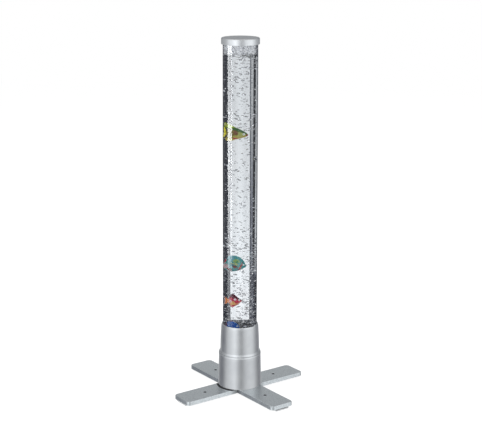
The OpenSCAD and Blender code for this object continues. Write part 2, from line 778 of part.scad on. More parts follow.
module pump_arm() {
    bar_x = magnet_x + magnet_l;
    color("goldenrod") translate([pump_x, pump_y + arm_y, mid_z]) difference() {
        union() {
            translate([bar_x, -arm_t / 2, -arm_h / 2]) cube([pivot_x - bar_x, arm_t, arm_h]);
            translate([magnet_x, -magnet_w / 2, -arm_h / 2]) cube([magnet_l, magnet_w, arm_h]);
            translate([pivot_x, 0, -arm_h / 2]) cylinder(r = pivot_eye_r, h = arm_h, $fn = 48);
            rearward(diaphragm_x, arm_t / 2, 0) cylinder(r = diaphragm_r / 2, h = disc_t, $fn = 32);
        }
        translate([pivot_x, 0, -arm_h / 2 - cut])
            cylinder(r = pivot_r + run_gap, h = arm_h + 2 * cut, $fn = 48);
    }
}

module pump_diaphragm() {
    color("dimgray") rearward(pump_x + diaphragm_x, pump_y + disc_face_y, mid_z) rotate_extrude($fn = 48)
        polygon([[0, 0], [diaphragm_r / 2, 0], [diaphragm_r, diaphragm_l / 2], [diaphragm_r, diaphragm_l],
            [diaphragm_r - disc_t, diaphragm_l], [diaphragm_r - disc_t, diaphragm_l / 2],
            [diaphragm_r / 2 - disc_t / 2, disc_t], [0, disc_t]]);
}

module pump_valve_box() {
    x = pump_x + diaphragm_x;
    floor_z = pump_z + pump_wall;
    color("dimgray") union() {
        translate([x - valve_box_w / 2, pump_y + valve_box_y, floor_z])
            cube([valve_box_w, valve_box_t, outlet_z + barb_r + valve_box_wall - floor_z]);
        translate([x, 0, outlet_z]) rotate([0, 90, 0])
            cylinder(r = barb_r, h = pump_face_x + barb_l - x, $fn = 32);
    }
}

// Light board
module led_board() {
    color("green") difference() {
        ring_of(led_board_r, led_board_hole_r, board_t, led_board_z);
        around(led_screw_count, led_screw_circle_r) translate([0, 0, led_board_z - cut])
            cylinder(r = board_screw_r + fit_gap, h = board_t + 2 * cut, $fn = 32);
    }
}

module led_chips() {
    color("lightyellow") around(led_count, led_circle_r) translate([0, 0, web_z]) union() {
        translate([-led_w / 2, -led_w / 2, 0]) cube([led_w, led_w, led_h]);
        translate([0, 0, led_h]) sphere(r = led_dome_r, $fn = 24);
    }
}

module led_board_screws() {
    color("darkgray") around(led_screw_count, led_screw_circle_r)
        translate([0, 0, led_board_z - board_screw_head_h])
            screw(board_screw_r, board_t + web_t / 2, board_screw_head_r, board_screw_head_h);
}

// Control board with its button and power inlet
module control_board() {
    color("green") difference() {
        translate([-board_w / 2, board_y, board_bottom_z]) cube([board_w, board_t, board_h]);
        for (side = [-1, 1]) rearward(side * board_screw_spacing / 2, board_y - cut, board_screw_z)
            cylinder(r = board_screw_r + fit_gap, h = board_t + 2 * cut, $fn = 32);
    }
}

module board_screws() {
    color("darkgray") for (side = [-1, 1])
        translate([side * board_screw_spacing / 2, board_y + board_t + board_screw_head_h, board_screw_z])
            rotate([90, 0, 0])
                screw(board_screw_r, board_t + tab_t, board_screw_head_r, board_screw_head_h);
}

module button_switch() {
    front = board_y + board_t;
    color("black") difference() {
        translate([-switch_w / 2, front, button_z - switch_w / 2]) cube([switch_w, switch_h, switch_w]);
        rearward(0, front + board_t / 2, button_z)
            cylinder(r = button_stem_r + run_gap, h = switch_h, $fn = 32);
    }
}

module push_button() {
    front = board_y + board_t;
    wall_out_r = lower_top_r + lower_draft * (ring_z - button_z) / lower_h;
    tip_y = wall_out_r + button_proud;
    flange_y = wall_out_r - shell_wall - free_gap - button_flange_t;
    stem_y = front + board_t / 2 + button_travel + switch_slack;
    color("whitesmoke") union() {
        rearward(0, flange_y, button_z) cylinder(r = button_r, h = tip_y - flange_y, $fn = 48);
        rearward(0, flange_y, button_z) cylinder(r = button_flange_r, h = button_flange_t, $fn = 48);
        rearward(0, stem_y, button_z) cylinder(r = button_stem_r, h = flange_y - stem_y + cut, $fn = 32);
    }
}

module power_inlet() {
    front = board_y + board_t;
    wall_out_r = lower_top_r + lower_draft * (ring_z - inlet_z) / lower_h;
    body_l = wall_out_r - shell_wall - inlet_gap - front;
    mouth_y = wall_out_r - free_gap;
    color("black") union() {
        difference() {
            union() {
                translate([-inlet_body_w / 2, front, inlet_z - inlet_body_h / 2])
                    cube([inlet_body_w, body_l, inlet_body_h]);
                rearward(0, front + cut, inlet_z)
                    cylinder(r = inlet_collar_r, h = mouth_y - front - cut, $fn = 48);
            }
            rearward(0, mouth_y - inlet_depth, inlet_z)
                cylinder(d = inlet_bore, h = inlet_depth + cut, $fn = 48);
        }
        rearward(0, mouth_y - inlet_depth - cut, inlet_z)
            cylinder(r = inlet_pin_r, h = inlet_depth, $fn = 32);
    }
}

// Leads
module led_lead() {
    top = led_board_z;
    bottom = board_bottom_z + board_h;
    color("black") translate([0, board_y - lead_plug_t / 2, 0]) union() {
        translate([0, 0, bottom - lead_plug_h])
            cylinder(r = lead_r, h = top - bottom + lead_plug_h, $fn = 24);
        translate([-lead_plug_w / 2, -lead_plug_t / 2, top - lead_plug_h])
            cube([lead_plug_w, lead_plug_t, lead_plug_h]);
        translate([-lead_plug_w / 2, -lead_plug_t / 2, bottom - 2 * lead_plug_h])
            cube([lead_plug_w, lead_plug_t, 2 * lead_plug_h - lead_plug_t]);
    }
}

module pump_lead() {
    start_y = pump_y + pump_w / 2;
    z = plate_top_z + tab_h + free_gap + lead_plug_h / 2;
    color("black") union() {
        rearward(0, start_y, z) cylinder(r = lead_r, h = board_y - start_y - lead_plug_t / 2, $fn = 24);
        translate([-lead_plug_w / 2, board_y - lead_plug_t, z - lead_plug_h / 2])
            cube([lead_plug_w, lead_plug_t, lead_plug_h]);
    }
}

// Top cap with its foam ring
module top_cap() {
    in_r = tube_r + cap_gap;
    out_r = in_r + cap_wall;
    under_z = overall_h - cap_top_t;
    color("silver") rotate_extrude($fn = 96)
        polygon([[0, under_z], [0, overall_h], [out_r - cap_bevel, overall_h],
            [out_r, overall_h - cap_bevel], [out_r, cap_z + fit_gap], [out_r - fit_gap, cap_z],
            [in_r, cap_z], [in_r, under_z]]);
}

module cap_seal() {
    color("white") ring_of(tube_r, tube_in_r, cap_seal_t, tube_top_z);
}

// Fish: a body lofted through oval slices, flat fins, and a side fin on each flank
module fish_slice(s, l, h) {
    high = (s[2] - s[1]) * h;
    wide = s[3] * fish_thick_share * h;
    translate([(0.5 - s[0]) * l, 0, ((s[1] + s[2]) / 2 - 0.5) * h]) rotate([0, 90, 0])
        scale([high, wide, 1]) cylinder(d = 1, h = slice_t, center = true, $fn = slice_fn);
}

module fish_fin(points, l, h) {
    rotate([90, 0, 0]) translate([0, 0, -fin_t / 2]) linear_extrude(fin_t)
        polygon([for (p = points) [(0.5 - p[0]) * l, (p[1] - 0.5) * h]]);
}

module side_fins(l, h) {
    s = side_fin_shares;
    translate([(0.5 - s[0]) * l, 0, (s[1] - 0.5) * h]) rotate([90, 0, 0])
        scale([s[2] * l, s[3] * h, lane_w(h)]) cylinder(r = 1, h = 1, center = true, $fn = slice_fn);
}

module fish(body, fins, l, h, at, dip) {
    rotate([0, 0, fish_turn]) translate(at) rotate([0, dip, 0]) union() {
        for (i = [0 : len(body) - 2]) hull() {
            fish_slice(body[i], l, h);
            fish_slice(body[i + 1], l, h);
        }
        for (f = fins) fish_fin(f, l, h);
        side_fins(l, h);
    }
}

module fish_yellow() {
    at = [yellow_ahead, yellow_lane, yellow_z];
    color("yellowgreen") fish(yellow_body_shares, yellow_fin_shares, yellow_l, yellow_h, at, yellow_dip);
}

module fish_teal() {
    at = [teal_ahead, teal_lane, teal_z];
    color("teal") fish(teal_body_shares, teal_fin_shares, teal_l, teal_h, at, teal_dip);
}

module fish_red() {
    at = [red_ahead, red_lane, red_z];
    color("crimson") fish(red_body_shares, red_fin_shares, red_l, red_h, at, red_dip);
}

module fish_blue() {
    at = [blue_ahead, blue_lane, blue_z];
    color("royalblue") fish(blue_body_shares, blue_fin_shares, blue_l, blue_h, at, blue_dip);
}

leg_bar_upper();
leg_bar_lower();
foot_pad_front_left();
foot_pad_front_right();
foot_pad_rear_left();
foot_pad_rear_right();
base_plate();
leg_screws();
lower_shell();
shell_screws();
trim_ring();
ring_screws();
upper_shell();
tube_seal();
acrylic_tube();
tube_foot_plate();
air_inlet_nozzle();
nozzle_nut();
bubble_stone();
check_valve();
air_hose_upper();
air_hose_lower();
pump_feet();
pump_case();
pump_cover();
pump_coil();
pump_arm();
pump_diaphragm();
pump_valve_box();
led_board();
led_chips();
led_board_screws();
control_board();
board_screws();
button_switch();
push_button();
power_inlet();
led_lead();
pump_lead();
top_cap();
cap_seal();
fish_yellow();
fish_teal();
fish_red();
fish_blue();
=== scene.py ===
# Bubble tube floor lamp: the looks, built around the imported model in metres.
import json
import math
import random

import bpy
import bmesh
from mathutils import Matrix, Vector, noise

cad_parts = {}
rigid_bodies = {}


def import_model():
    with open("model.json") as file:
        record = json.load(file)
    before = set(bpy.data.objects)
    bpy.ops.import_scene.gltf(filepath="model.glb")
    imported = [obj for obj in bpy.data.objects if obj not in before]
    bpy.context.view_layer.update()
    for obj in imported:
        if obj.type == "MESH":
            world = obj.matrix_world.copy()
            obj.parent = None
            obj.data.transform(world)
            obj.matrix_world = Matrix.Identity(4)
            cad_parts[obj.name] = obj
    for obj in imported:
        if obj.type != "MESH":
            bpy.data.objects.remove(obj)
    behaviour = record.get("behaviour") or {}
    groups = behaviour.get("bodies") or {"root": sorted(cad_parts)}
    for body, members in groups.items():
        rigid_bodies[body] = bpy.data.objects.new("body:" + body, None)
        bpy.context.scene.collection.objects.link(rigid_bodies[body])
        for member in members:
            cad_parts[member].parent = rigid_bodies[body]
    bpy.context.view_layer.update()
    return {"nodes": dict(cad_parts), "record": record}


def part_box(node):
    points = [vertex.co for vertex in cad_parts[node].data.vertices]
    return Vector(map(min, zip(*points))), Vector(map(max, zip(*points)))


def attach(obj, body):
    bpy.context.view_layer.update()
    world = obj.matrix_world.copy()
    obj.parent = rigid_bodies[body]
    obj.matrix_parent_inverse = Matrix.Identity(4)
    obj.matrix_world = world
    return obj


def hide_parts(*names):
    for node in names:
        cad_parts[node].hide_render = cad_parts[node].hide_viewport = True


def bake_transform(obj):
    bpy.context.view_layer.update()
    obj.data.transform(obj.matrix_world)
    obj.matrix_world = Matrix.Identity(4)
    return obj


for leftover in list(bpy.data.objects):
    bpy.data.objects.remove(leftover)
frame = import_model()
MM = 0.001
TURN = 2 * math.pi


def add_object(name, data):
    thing = bpy.data.objects.new(name, data)
    bpy.context.scene.collection.objects.link(thing)
    return thing


# Camera, from the photograph: it looks at the lamp from a little right of its front
IMAGE_W = 482
SENSOR_W = 36
FOCAL_PX = 1272.39
CAMERA_DISTANCE = 3.5704
CAMERA_HEIGHT = 1.4291
CAMERA_BEARING = math.radians(8.91)
CAMERA_YAW = math.radians(0.0431)
CAMERA_PITCH = math.radians(14.1698)
CAMERA_ROLL = math.radians(0.1532)


def make_camera():
    data = bpy.data.cameras.new("camera")
    data.sensor_width = SENSOR_W
    data.lens = FOCAL_PX * SENSOR_W / IMAGE_W
    camera = add_object("camera", data)
    turn = Matrix.Rotation(CAMERA_BEARING, 3, "Z")
    level = math.cos(CAMERA_PITCH)
    ahead = turn @ Vector((math.sin(CAMERA_YAW) * level, math.cos(CAMERA_YAW) * level,
                           -math.sin(CAMERA_PITCH)))
    flat_right = ahead.cross(Vector((0, 0, 1))).normalized()
    flat_up = flat_right.cross(ahead)
    right = math.cos(CAMERA_ROLL) * flat_right + math.sin(CAMERA_ROLL) * flat_up
    up = right.cross(ahead)
    place = turn @ Vector((0, -CAMERA_DISTANCE, CAMERA_HEIGHT))
    axes = Matrix((right, up, -ahead)).transposed().to_4x4()
    camera.matrix_world = Matrix.Translation(place) @ axes
    bpy.context.scene.camera = camera


class Nodes:
    """A node tree, with short calls for the nodes that the looks share."""

    def __init__(self, owner):
        owner.use_nodes = True
        self.tree = owner.node_tree

    def wire(self, source, target):
        """Sets an input to a number or a colour, or links it to another node's output."""
        if isinstance(source, (int, float)):
            target.default_value = source
        elif isinstance(source, tuple):
            target.default_value = (*source, 1)[:len(target.default_value)]
        else:
            self.tree.links.new(source, target)

    def add(self, kind, *values, **settings):
        """A new node with these settings and pairs of an input and what goes into it."""
        node = self.tree.nodes.new(kind)
        for name, value in settings.items():
            setattr(node, name, value)
        for place, value in values:
            self.wire(value, node.inputs[place])
        return node.outputs

    def attribute(self, name):
        return self.add("ShaderNodeAttribute", attribute_name=name)

    def math(self, operation, a, b=0):
        return self.add("ShaderNodeMath", (0, a), (1, b), operation=operation)[0]

    def parts(self, vector):
        return self.add("ShaderNodeSeparateXYZ", (0, vector))

    def square_sum(self, a, b):
        return self.math("ADD", self.math("MULTIPLY", a, a), self.math("MULTIPLY", b, b))

    def distance(self, a, b):
        return self.math("SQRT", self.square_sum(a, b))

    def span(self, x, low, high, to_low=0, to_high=1, soft=True):
        return self.add("ShaderNodeMapRange", *enumerate((x, low, high, to_low, to_high)),
                        interpolation_type="SMOOTHSTEP" if soft else "LINEAR")[0]

    def either(self, amount, a, b):
        return self.add("ShaderNodeMix", (0, amount), (2, a), (3, b))[0]

    def mix(self, amount, a, b):
        return self.add("ShaderNodeMix", (0, amount), (6, a), (7, b), data_type="RGBA")[2]


class Finish(Nodes):
    """A material, with calls for its surface and for the textures of the finishes."""

    def __init__(self, name, color, rough, metal=0):
        self.mat = bpy.data.materials.new(name)
        super().__init__(self.mat)
        self.shader = self.tree.nodes["Principled BSDF"]
        self.feed("Base Color", color)
        self.feed("Roughness", rough)
        self.feed("Metallic", metal)
        self.place = self.add("ShaderNodeTexCoord")["Object"]

    def feed(self, name, source):
        self.wire(source, self.shader.inputs[name])

    def dye(self, amount, low, high):
        self.feed("Base Color", self.mix(amount, low, high))

    def roughen(self, texture, low, high):
        self.feed("Roughness", self.span(texture, 0.3, 0.7, low, high))

    def emboss(self, *facts):
        self.feed("Normal", self.bump(*facts))

    def scaled(self, x, y, z):
        return self.add("ShaderNodeMapping", ("Scale", (x, y, z)), ("Vector", self.place))[0]

    def noise(self, size, detail=3, vector=None, rough=0.5):
        """Noise whose lumps are about size metres across."""
        return self.add("ShaderNodeTexNoise", ("Scale", 1 / size), ("Detail", detail),
                        ("Roughness", rough), ("Vector", vector or self.place))["Fac"]

    def cells(self, size, vector=None):
        return self.add("ShaderNodeTexVoronoi", ("Scale", 1 / size),
                        ("Vector", vector or self.place))["Distance"]

    def bump(self, height, depth, strength=1, over=None):
        under = [("Normal", over)] if over else []
        return self.add("ShaderNodeBump", ("Strength", strength), ("Distance", depth),
                        ("Height", height), *under)[0]


# Studio: a ring of screens round the lamp that only its gloss and glass see, and soft lamps
RING_R = 1.25
RING_LOW, RING_HIGH = -1.7, 2.3
RING_ROWS, RING_STEPS = 80, 720

# Bearing from the camera's side, in degrees, and the screens' brightness as satin metal sees it
METAL_GLOW = [(-180, 0.82), (-165, 0.8), (-150, 0.64), (-132, 0.33), (-108, 0.24), (-98, 0.3),
              (-88, 0.43), (-76, 0.8), (-60, 0.9), (-46, 1), (-36, 1.2), (-26, 1.29),
              (-17, 1.12), (-8, 0.68), (0, 0.46), (8, 0.385), (13, 0.4), (20, 0.58), (28, 0.79),
              (42, 0.94), (66, 1), (80, 0.92), (94, 0.62), (106, 0.4), (120, 0.28),
              (138, 0.36), (152, 0.62), (165, 0.8), (180, 0.82)]
# Heights between which the screens in front grow brighter, by how much, and their least level there
METAL_RISE_Z = (0.1, 0.95)
METAL_RISE = 0.38
METAL_HIGH_LEAST = 0.58
# The screens behind start between these bearings, and keep this share of brightness by height
METAL_REAR = (125, 155)
METAL_REAR_FADE = [(-0.2, 1), (0.4, 0.6), (0.8, 0.6), (1.1, 0.46)]
# Bearing from straight behind the tube, and the brightness that clear pieces show, by height
GLASS_BEHIND = 60
GLASS_LOW = [(-60, 0.02), (-30, 0.03), (-19, 0.05), (-17.4, 0.07), (-16.4, 1), (16.4, 1),
             (17.6, 0), (19, 0.02), (20.5, 0.08), (35, 0.07), (37, 0), (54, 0.01), (60, 0.15)]
GLASS_MID = [(-60, 0.02), (-30, 0.03), (-19, 0.04), (-17.4, 0.06), (-16.4, 1), (16.4, 1),
             (17.2, 0.05), (19.2, 0.05), (20, 0.2), (24.2, 0.2), (25, 0), (34, 0), (36, 0.7),
             (48, 0.6), (52, 0.1), (60, 0.1)]
HIGH_LEFT = [(-60, 0.02), (-30, 0.03), (-19, 0.04), (-14.4, 0.06), (-13.4, 1)]
HIGH_RIGHT = [(25, 0), (34.5, 0), (36.5, 0.7), (48, 0.6), (52, 0.1), (60, 0.1)]
GLASS_HIGH = [*HIGH_LEFT, (16, 1), (16.8, 0.06), (18.4, 0.06), (19.2, 0.3), (24.2, 0.3),
              *HIGH_RIGHT]
GLASS_TOP = [*HIGH_LEFT, (15.2, 1), (16, 0.12), (17.8, 0.12), (18.6, 0.62), (24.2, 0.62),
             *HIGH_RIGHT]
GLASS_LEVELS = [(-0.05, GLASS_LOW), (0.07, GLASS_MID), (0.24, GLASS_MID), (0.36, GLASS_HIGH),
                (0.72, GLASS_TOP)]
# The same at the sides and in front: a light window for each view, dark between them
GLASS_SIDE = [(60, 0.02), (74, 0.02), (76, 0.9), (104, 0.9), (106, 0.02), (114, 0.02), (118, 0.6),
              (128, 0.6), (132, 0.02), (163, 0.02), (165, 0.9), (180, 0.9)]
# Height on the ring, and the share of that brightness
GLASS_FADE = [(-0.8, 0.05), (-0.45, 0.9), (-0.3, 1.04), (0, 1.04), (0.12, 0.99), (0.28, 0.9),
              (0.5, 0.83), (0.9, 0.78), (1, 0.7), (1.07, 0.12), (1.5, 0.04)]
# A tall lamp on the left that only shows as a streak on clear surfaces
STREAK_FROM, STREAK_TO, STREAK_SOFT = -87, -57, 2
STREAK_GLOW = 15.5
# Share of the metal's pattern that shows beside the streak
STREAK_BESIDE = 0.25
STREAK_RISE = [(-0.25, 0.05), (-0.145, 0.075), (-0.04, 0.17), (0.18, 0.48), (0.4, 0.92),
               (0.56, 1), (0.66, 0.75)]
# Tints of the bright and dark screens, and the brightness where the bright one is reached
SCREEN_TINT = (0.945, 0.972, 0.995, 1)
DARK_TINT = (0.66, 0.71, 1, 1)
BRIGHT_LEVEL = 0.4


def between(table, x):
    """The value at x on straight lines through the table's points."""
    if x <= table[0][0]:
        return table[0][1]
    for (x0, y0), (x1, y1) in zip(table, table[1:]):
        if x <= x1:
            return y0 + (y1 - y0) * (x - x0) / (x1 - x0)
    return table[-1][1]


def smooth(x, low, high):
    t = min(max((x - low) / (high - low), 0), 1)
    return t * t * (3 - 2 * t)


def glass_glow(bearing, z):
    """The pattern straight behind the tube, and plainer ones at its sides and in front."""
    away = bearing % 360 - 180
    fade = between(GLASS_FADE, z)
    if abs(away) > GLASS_BEHIND:
        return between(GLASS_SIDE, abs(away)) * fade
    levels = [(height, between(table, away)) for height, table in GLASS_LEVELS]
    return between(levels, z) * fade


def metal_glow(bearing, z):
    level, rise = between(METAL_GLOW, bearing), smooth(z, *METAL_RISE_Z)
    front = max(level * (1 + METAL_RISE * rise), METAL_HIGH_LEAST * rise)
    rear = level * between(METAL_REAR_FADE, z)
    return front + (rear - front) * smooth(abs(bearing), *METAL_REAR)


def streak_glow(bearing, z):
    start = smooth(bearing, STREAK_FROM - STREAK_SOFT, STREAK_FROM)
    end = smooth(bearing, STREAK_TO, STREAK_TO + STREAK_SOFT)
    streak = STREAK_GLOW * (start * (1 - end)) * between(STREAK_RISE, z)
    return STREAK_BESIDE * metal_glow(bearing, z) + streak


def ring_light():
    """Satin metal, sharp gloss and clear pieces each see a pattern of their own."""
    mat = bpy.data.materials.new("studio_ring")
    f = Nodes(mat)
    f.tree.nodes.clear()
    path = f.add("ShaderNodeLightPath")
    metal, streak, glass = (f.attribute(name)["Fac"] for name in ("metal", "streak", "glass"))
    gloss = f.either(path["Is Singular Ray"], metal, streak)
    level = f.either(path["Is Transmission Ray"], gloss, glass)
    color = f.mix(f.span(level, 0, BRIGHT_LEVEL, soft=False), DARK_TINT, SCREEN_TINT)
    glow = f.add("ShaderNodeEmission", ("Strength", level), ("Color", color))
    f.add("ShaderNodeOutputMaterial", ("Surface", glow[0]))
    return mat


def make_ring():
    mesh = bpy.data.meshes.new("studio_ring")
    places = [(-180 + 360 * step / RING_STEPS, RING_LOW + (RING_HIGH - RING_LOW) * row / RING_ROWS)
              for row in range(RING_ROWS + 1) for step in range(RING_STEPS)]
    turns = [math.radians(bearing) + CAMERA_BEARING for bearing, _ in places]
    verts = [(RING_R * math.sin(turn), -RING_R * math.cos(turn), z)
             for turn, (_, z) in zip(turns, places)]
    faces = []
    for row in range(RING_ROWS):
        faces += band(row * RING_STEPS, (row + 1) * RING_STEPS, RING_STEPS)
    mesh.from_pydata(verts, [], faces)
    for name, glow in (("metal", metal_glow), ("glass", glass_glow), ("streak", streak_glow)):
        layer = mesh.attributes.new(name, "FLOAT", "POINT")
        layer.data.foreach_set("value", [glow(bearing, z) for bearing, z in places])
    ring = add_object("studio_ring", mesh)
    mesh.materials.append(ring_light())
    ring.visible_camera = False
    ring.visible_diffuse = False
    ring.visible_shadow = False


# White floor: half its width, and what it reflects and gives off itself
FLOOR_HALF = 6
FLOOR_GREY = (0.35, 0.35, 0.35)
FLOOR_SELF_GLOW = 0.8


def make_floor():
    mesh = bpy.data.meshes.new("floor")
    h = FLOOR_HALF
    mesh.from_pydata([(-h, -h, 0), (h, -h, 0), (h, h, 0), (-h, h, 0)], [], [(0, 1, 2, 3)])
    floor = add_object("floor", mesh)
    f = Finish("floor", FLOOR_GREY, 0.9)
    f.feed("Specular IOR Level", 0)
    f.feed("Emission Color", (1, 1, 1, 1))
    f.feed("Emission Strength", FLOOR_SELF_GLOW)
    mesh.materials.append(f.mat)
    floor.visible_glossy = False
    floor.visible_transmission = False


# Soft lamps: bearing from the camera in degrees, height, distance, width, tall, watts, and the
# height on the axis that they aim at
SOFT_LAMPS = [("lamp_left", -48, 1.5, 2.6, 1.2, 1.8, 46),
              ("lamp_right", 42, 1.3, 2.6, 1.2, 1.8, 36),
              ("lamp_over", 170, 3, 1.2, 2, 1.4, 26)]
LAMP_AIM = 0.5


def make_lamps():
    for name, bearing, height, distance, width, tall, watts in SOFT_LAMPS:
        data = bpy.data.lights.new(name, "AREA")
        data.shape = "RECTANGLE"
        data.size, data.size_y = width, tall
        data.energy = watts
        lamp = add_object(name, data)
        turn = math.radians(bearing) + CAMERA_BEARING
        place = Vector((distance * math.sin(turn), -distance * math.cos(turn), height))
        lamp.location = place
        lamp.rotation_mode = "QUATERNION"
        lamp.rotation_quaternion = (Vector((0, 0, LAMP_AIM)) - place).to_track_quat("-Z", "Y")
        lamp.visible_camera = False
        lamp.visible_glossy = False
        lamp.visible_transmission = False


# Brightness of the sky for diffuse light, for gloss and for glass; the camera sees it white
WORLD_AMBIENT = 0.55
WORLD_GLOSS = 0.85
WORLD_GLASS = 0.3


def make_world():
    world = bpy.data.worlds.new("studio")
    bpy.context.scene.world = world
    f = Nodes(world)
    f.tree.nodes.clear()
    path = f.add("ShaderNodeLightPath")
    level = f.span(path["Is Diffuse Ray"], 0, 1, WORLD_GLOSS, WORLD_AMBIENT, soft=False)
    level = f.either(path["Is Transmission Ray"], level, WORLD_GLASS)
    soft, white = (f.add("ShaderNodeBackground", ("Color", (1, 1, 1)), ("Strength", strength))[0]
                   for strength in (level, 1))
    sky = f.add("ShaderNodeMixShader", (0, path["Is Camera Ray"]), (1, soft), (2, white))
    f.add("ShaderNodeOutputWorld", ("Surface", sky[0]))


# Finishes, with the sizes of noise, cells and bumps in metres. Heights between which the
# housing turns a little darker downwards and the trim ring's bead rounds, and the bead's slope
DARKER_BELOW_Z = (0.1, 0.116)
BEAD_Z = (0.1122, 0.1172)
BEAD_SLOPE = 0.55


def satin_silver():
    """Silver spray over a turned housing: fine grain, faint turning lines, slight blotches."""
    f = Finish("satin_silver", (0.66, 0.67, 0.68), 0.34, 1)
    blotch = f.noise(0.035, 2)
    grain = f.noise(0.0007, 2)
    lines = f.noise(0.0009, 2, f.scaled(0.02, 0.02, 1))
    tint = f.mix(f.span(blotch, 0.3, 0.7), (0.64, 0.65, 0.665), (0.69, 0.7, 0.71))
    tint = f.mix(f.span(grain, 0.35, 0.65, 0, 0.12), tint, (0.5, 0.51, 0.52))
    height = f.parts(f.place)[2]
    # The housing's colour is a little darker below these heights
    f.dye(f.span(height, *DARKER_BELOW_Z, 0.07, 0), tint, (0, 0, 0))
    f.roughen(f.noise(0.012, 3), 0.31, 0.38)
    depth = BEAD_SLOPE * (BEAD_Z[1] - BEAD_Z[0])
    bead = f.bump(f.span(height, *BEAD_Z, depth, 0, soft=False), 1)
    f.emboss(lines, 0.00002, 0.4, f.bump(grain, 0.00003, 0.35, bead))
    return f.mat


# Painted shade on the lower bar's top, round the shell's foot: distance from an axis shifted in x
# and y
BAR_SHADE_R = (0.0649, 0.0679)
BAR_SHADE_SHIFT = 0.0026
LOW_TOP_Z = 0.0168
# Painted shade in the corners of the cross, and in the fixing holes, whose axes have this x and y
CORNER_SHADE_R = (0.052, 0.076)
HOLE_PLACE = 0.126 * math.sqrt(0.5)
HOLE_SHADE_R = (0.0042, 0.0048)


def bar_silver():
    """Coarser silver spray on the flat bars; painted shade under the shell, in corners and holes.
    """
    f = Finish("bar_silver", (0.55, 0.56, 0.57), 0.36, 1)
    pebble = f.noise(0.0026, 4, rough=0.75)
    fleck = f.cells(0.0022)
    tint = f.mix(f.span(pebble, 0.4, 0.6), (0.55, 0.585, 0.6), (0.79, 0.825, 0.84))
    tint = f.mix(f.span(fleck, 0, 0.22, 0.35, 0), tint, (0.9, 0.92, 0.94))
    x, y, z = f.parts(f.place)
    up = f.parts(f.add("ShaderNodeNewGeometry")["Normal"])[2]
    shifted = [f.math("ADD", axis, BAR_SHADE_SHIFT) for axis in (x, y)]
    low_top = f.math("MULTIPLY", f.math("GREATER_THAN", up, 0.5), f.math("LESS_THAN", z, LOW_TOP_Z))
    under = f.math("MULTIPLY", low_top, f.span(f.distance(*shifted), *BAR_SHADE_R, 1, 0))
    beside = [f.math("SUBTRACT", f.math("ABSOLUTE", axis), HOLE_PLACE) for axis in (x, y)]
    inside = f.span(f.distance(*beside), *HOLE_SHADE_R, 1, 0)
    side = f.math("LESS_THAN", f.math("ABSOLUTE", up), 0.5)
    corner = f.math("MULTIPLY", side, f.span(f.distance(x, y), *CORNER_SHADE_R, 0.7, 0))
    # Painted shade: near black under the shell, in the fixing holes and on the sides near the
    # crossing
    painted_shade = f.math("MAXIMUM", f.math("MAXIMUM", under, inside), corner)
    unshaded = f.math("SUBTRACT", 1, painted_shade)
    f.dye(unshaded, (0.012, 0.012, 0.013), tint)
    f.roughen(f.noise(0.02, 2), 0.33, 0.41)
    f.emboss(pebble, 0.00012, 0.6)
    return f.mat


# Height above which the pads are painted dark: a painted shade line where the bars rest on them
PAD_SHADE_Z = (0.0036, 0.0042)


def pad_rubber():
    f = Finish("pad_rubber", (0.5, 0.51, 0.52), 0.7)
    grain = f.noise(0.0012, 3)
    tint = f.mix(f.span(grain, 0.3, 0.7), (0.44, 0.45, 0.46), (0.56, 0.57, 0.58))
    # Painted shade along the pads' tops, where the bars rest on them
    shade_line = f.span(f.parts(f.place)[2], *PAD_SHADE_Z)
    f.dye(shade_line, tint, (0.03, 0.03, 0.033))
    f.roughen(grain, 0.62, 0.78)
    f.emboss(grain, 0.00008, 0.6)
    return f.mat


def zinc_steel():
    f = Finish("zinc_steel", (0.62, 0.62, 0.64), 0.3, 1)
    spangle = f.cells(0.006)
    scuff = f.noise(0.0015, 3, f.scaled(1, 0.15, 1))
    f.dye(f.span(spangle, 0.1, 0.9), (0.54, 0.54, 0.56), (0.7, 0.7, 0.71))
    f.roughen(scuff, 0.24, 0.42)
    f.emboss(scuff, 0.00004, 0.4)
    return f.mat


def clear(name, color, ior, rough=0):
    f = Finish(name, color, rough)
    f.feed("Transmission Weight", 1)
    f.feed("IOR", ior)
    return f


def clear_acrylic():
    f = clear("clear_acrylic", (0.985, 0.992, 0.995), 1.49)
    haze = f.noise(0.05, 2, f.scaled(1, 1, 0.15))
    f.dye(f.span(haze, 0.35, 0.65), (0.975, 0.985, 0.99), (0.995, 0.998, 1))
    return f.mat


def clear_silicone():
    f = clear("clear_silicone", (0.86, 0.9, 0.9), 1.41, 0.28)
    cloud = f.noise(0.004, 3)
    f.dye(f.span(cloud, 0.3, 0.7), (0.8, 0.84, 0.84), (0.92, 0.94, 0.94))
    f.roughen(cloud, 0.22, 0.34)
    return f.mat


def moulded(name, dark, light, rough, grain=0.0009, depth=0.00004):
    """Moulded plastic or rubber: a faint cloud of colour and a fine spark-eroded grain."""
    f = Finish(name, light, rough)
    skin = f.noise(grain, 3)
    f.dye(f.span(f.noise(0.01, 2), 0.3, 0.7), dark, light)
    f.roughen(skin, rough - 0.05, rough + 0.07)
    f.emboss(skin, depth, 0.5)
    return f


def air_stone():
    f = Finish("air_stone", (0.6, 0.62, 0.62), 0.85)
    grit = f.noise(0.0011, 4, rough=0.65)
    pore = f.cells(0.0016)
    tint = f.mix(f.span(grit, 0.35, 0.65), (0.42, 0.45, 0.46), (0.76, 0.78, 0.78))
    # Darker pores: painted shade in the pits that the bump makes
    f.dye(f.span(pore, 0, 0.25, 0.7, 0), tint, (0.2, 0.22, 0.23))
    f.emboss(grit, 0.0005, 0.9, f.bump(pore, 0.0004, 0.7))
    return f.mat


def copper_winding():
    f = Finish("copper_winding", (0.62, 0.28, 0.14), 0.32, 0.9)
    turns = f.add("ShaderNodeTexWave", ("Scale", 900), ("Distortion", 0.6),
                  ("Vector", f.place), bands_direction="X")["Fac"]
    # Darker between the turns: painted shade in the grooves that the bump makes
    f.dye(turns, (0.3, 0.11, 0.05), (0.72, 0.34, 0.18))
    f.emboss(turns, 0.0002, 0.9)
    return f.mat


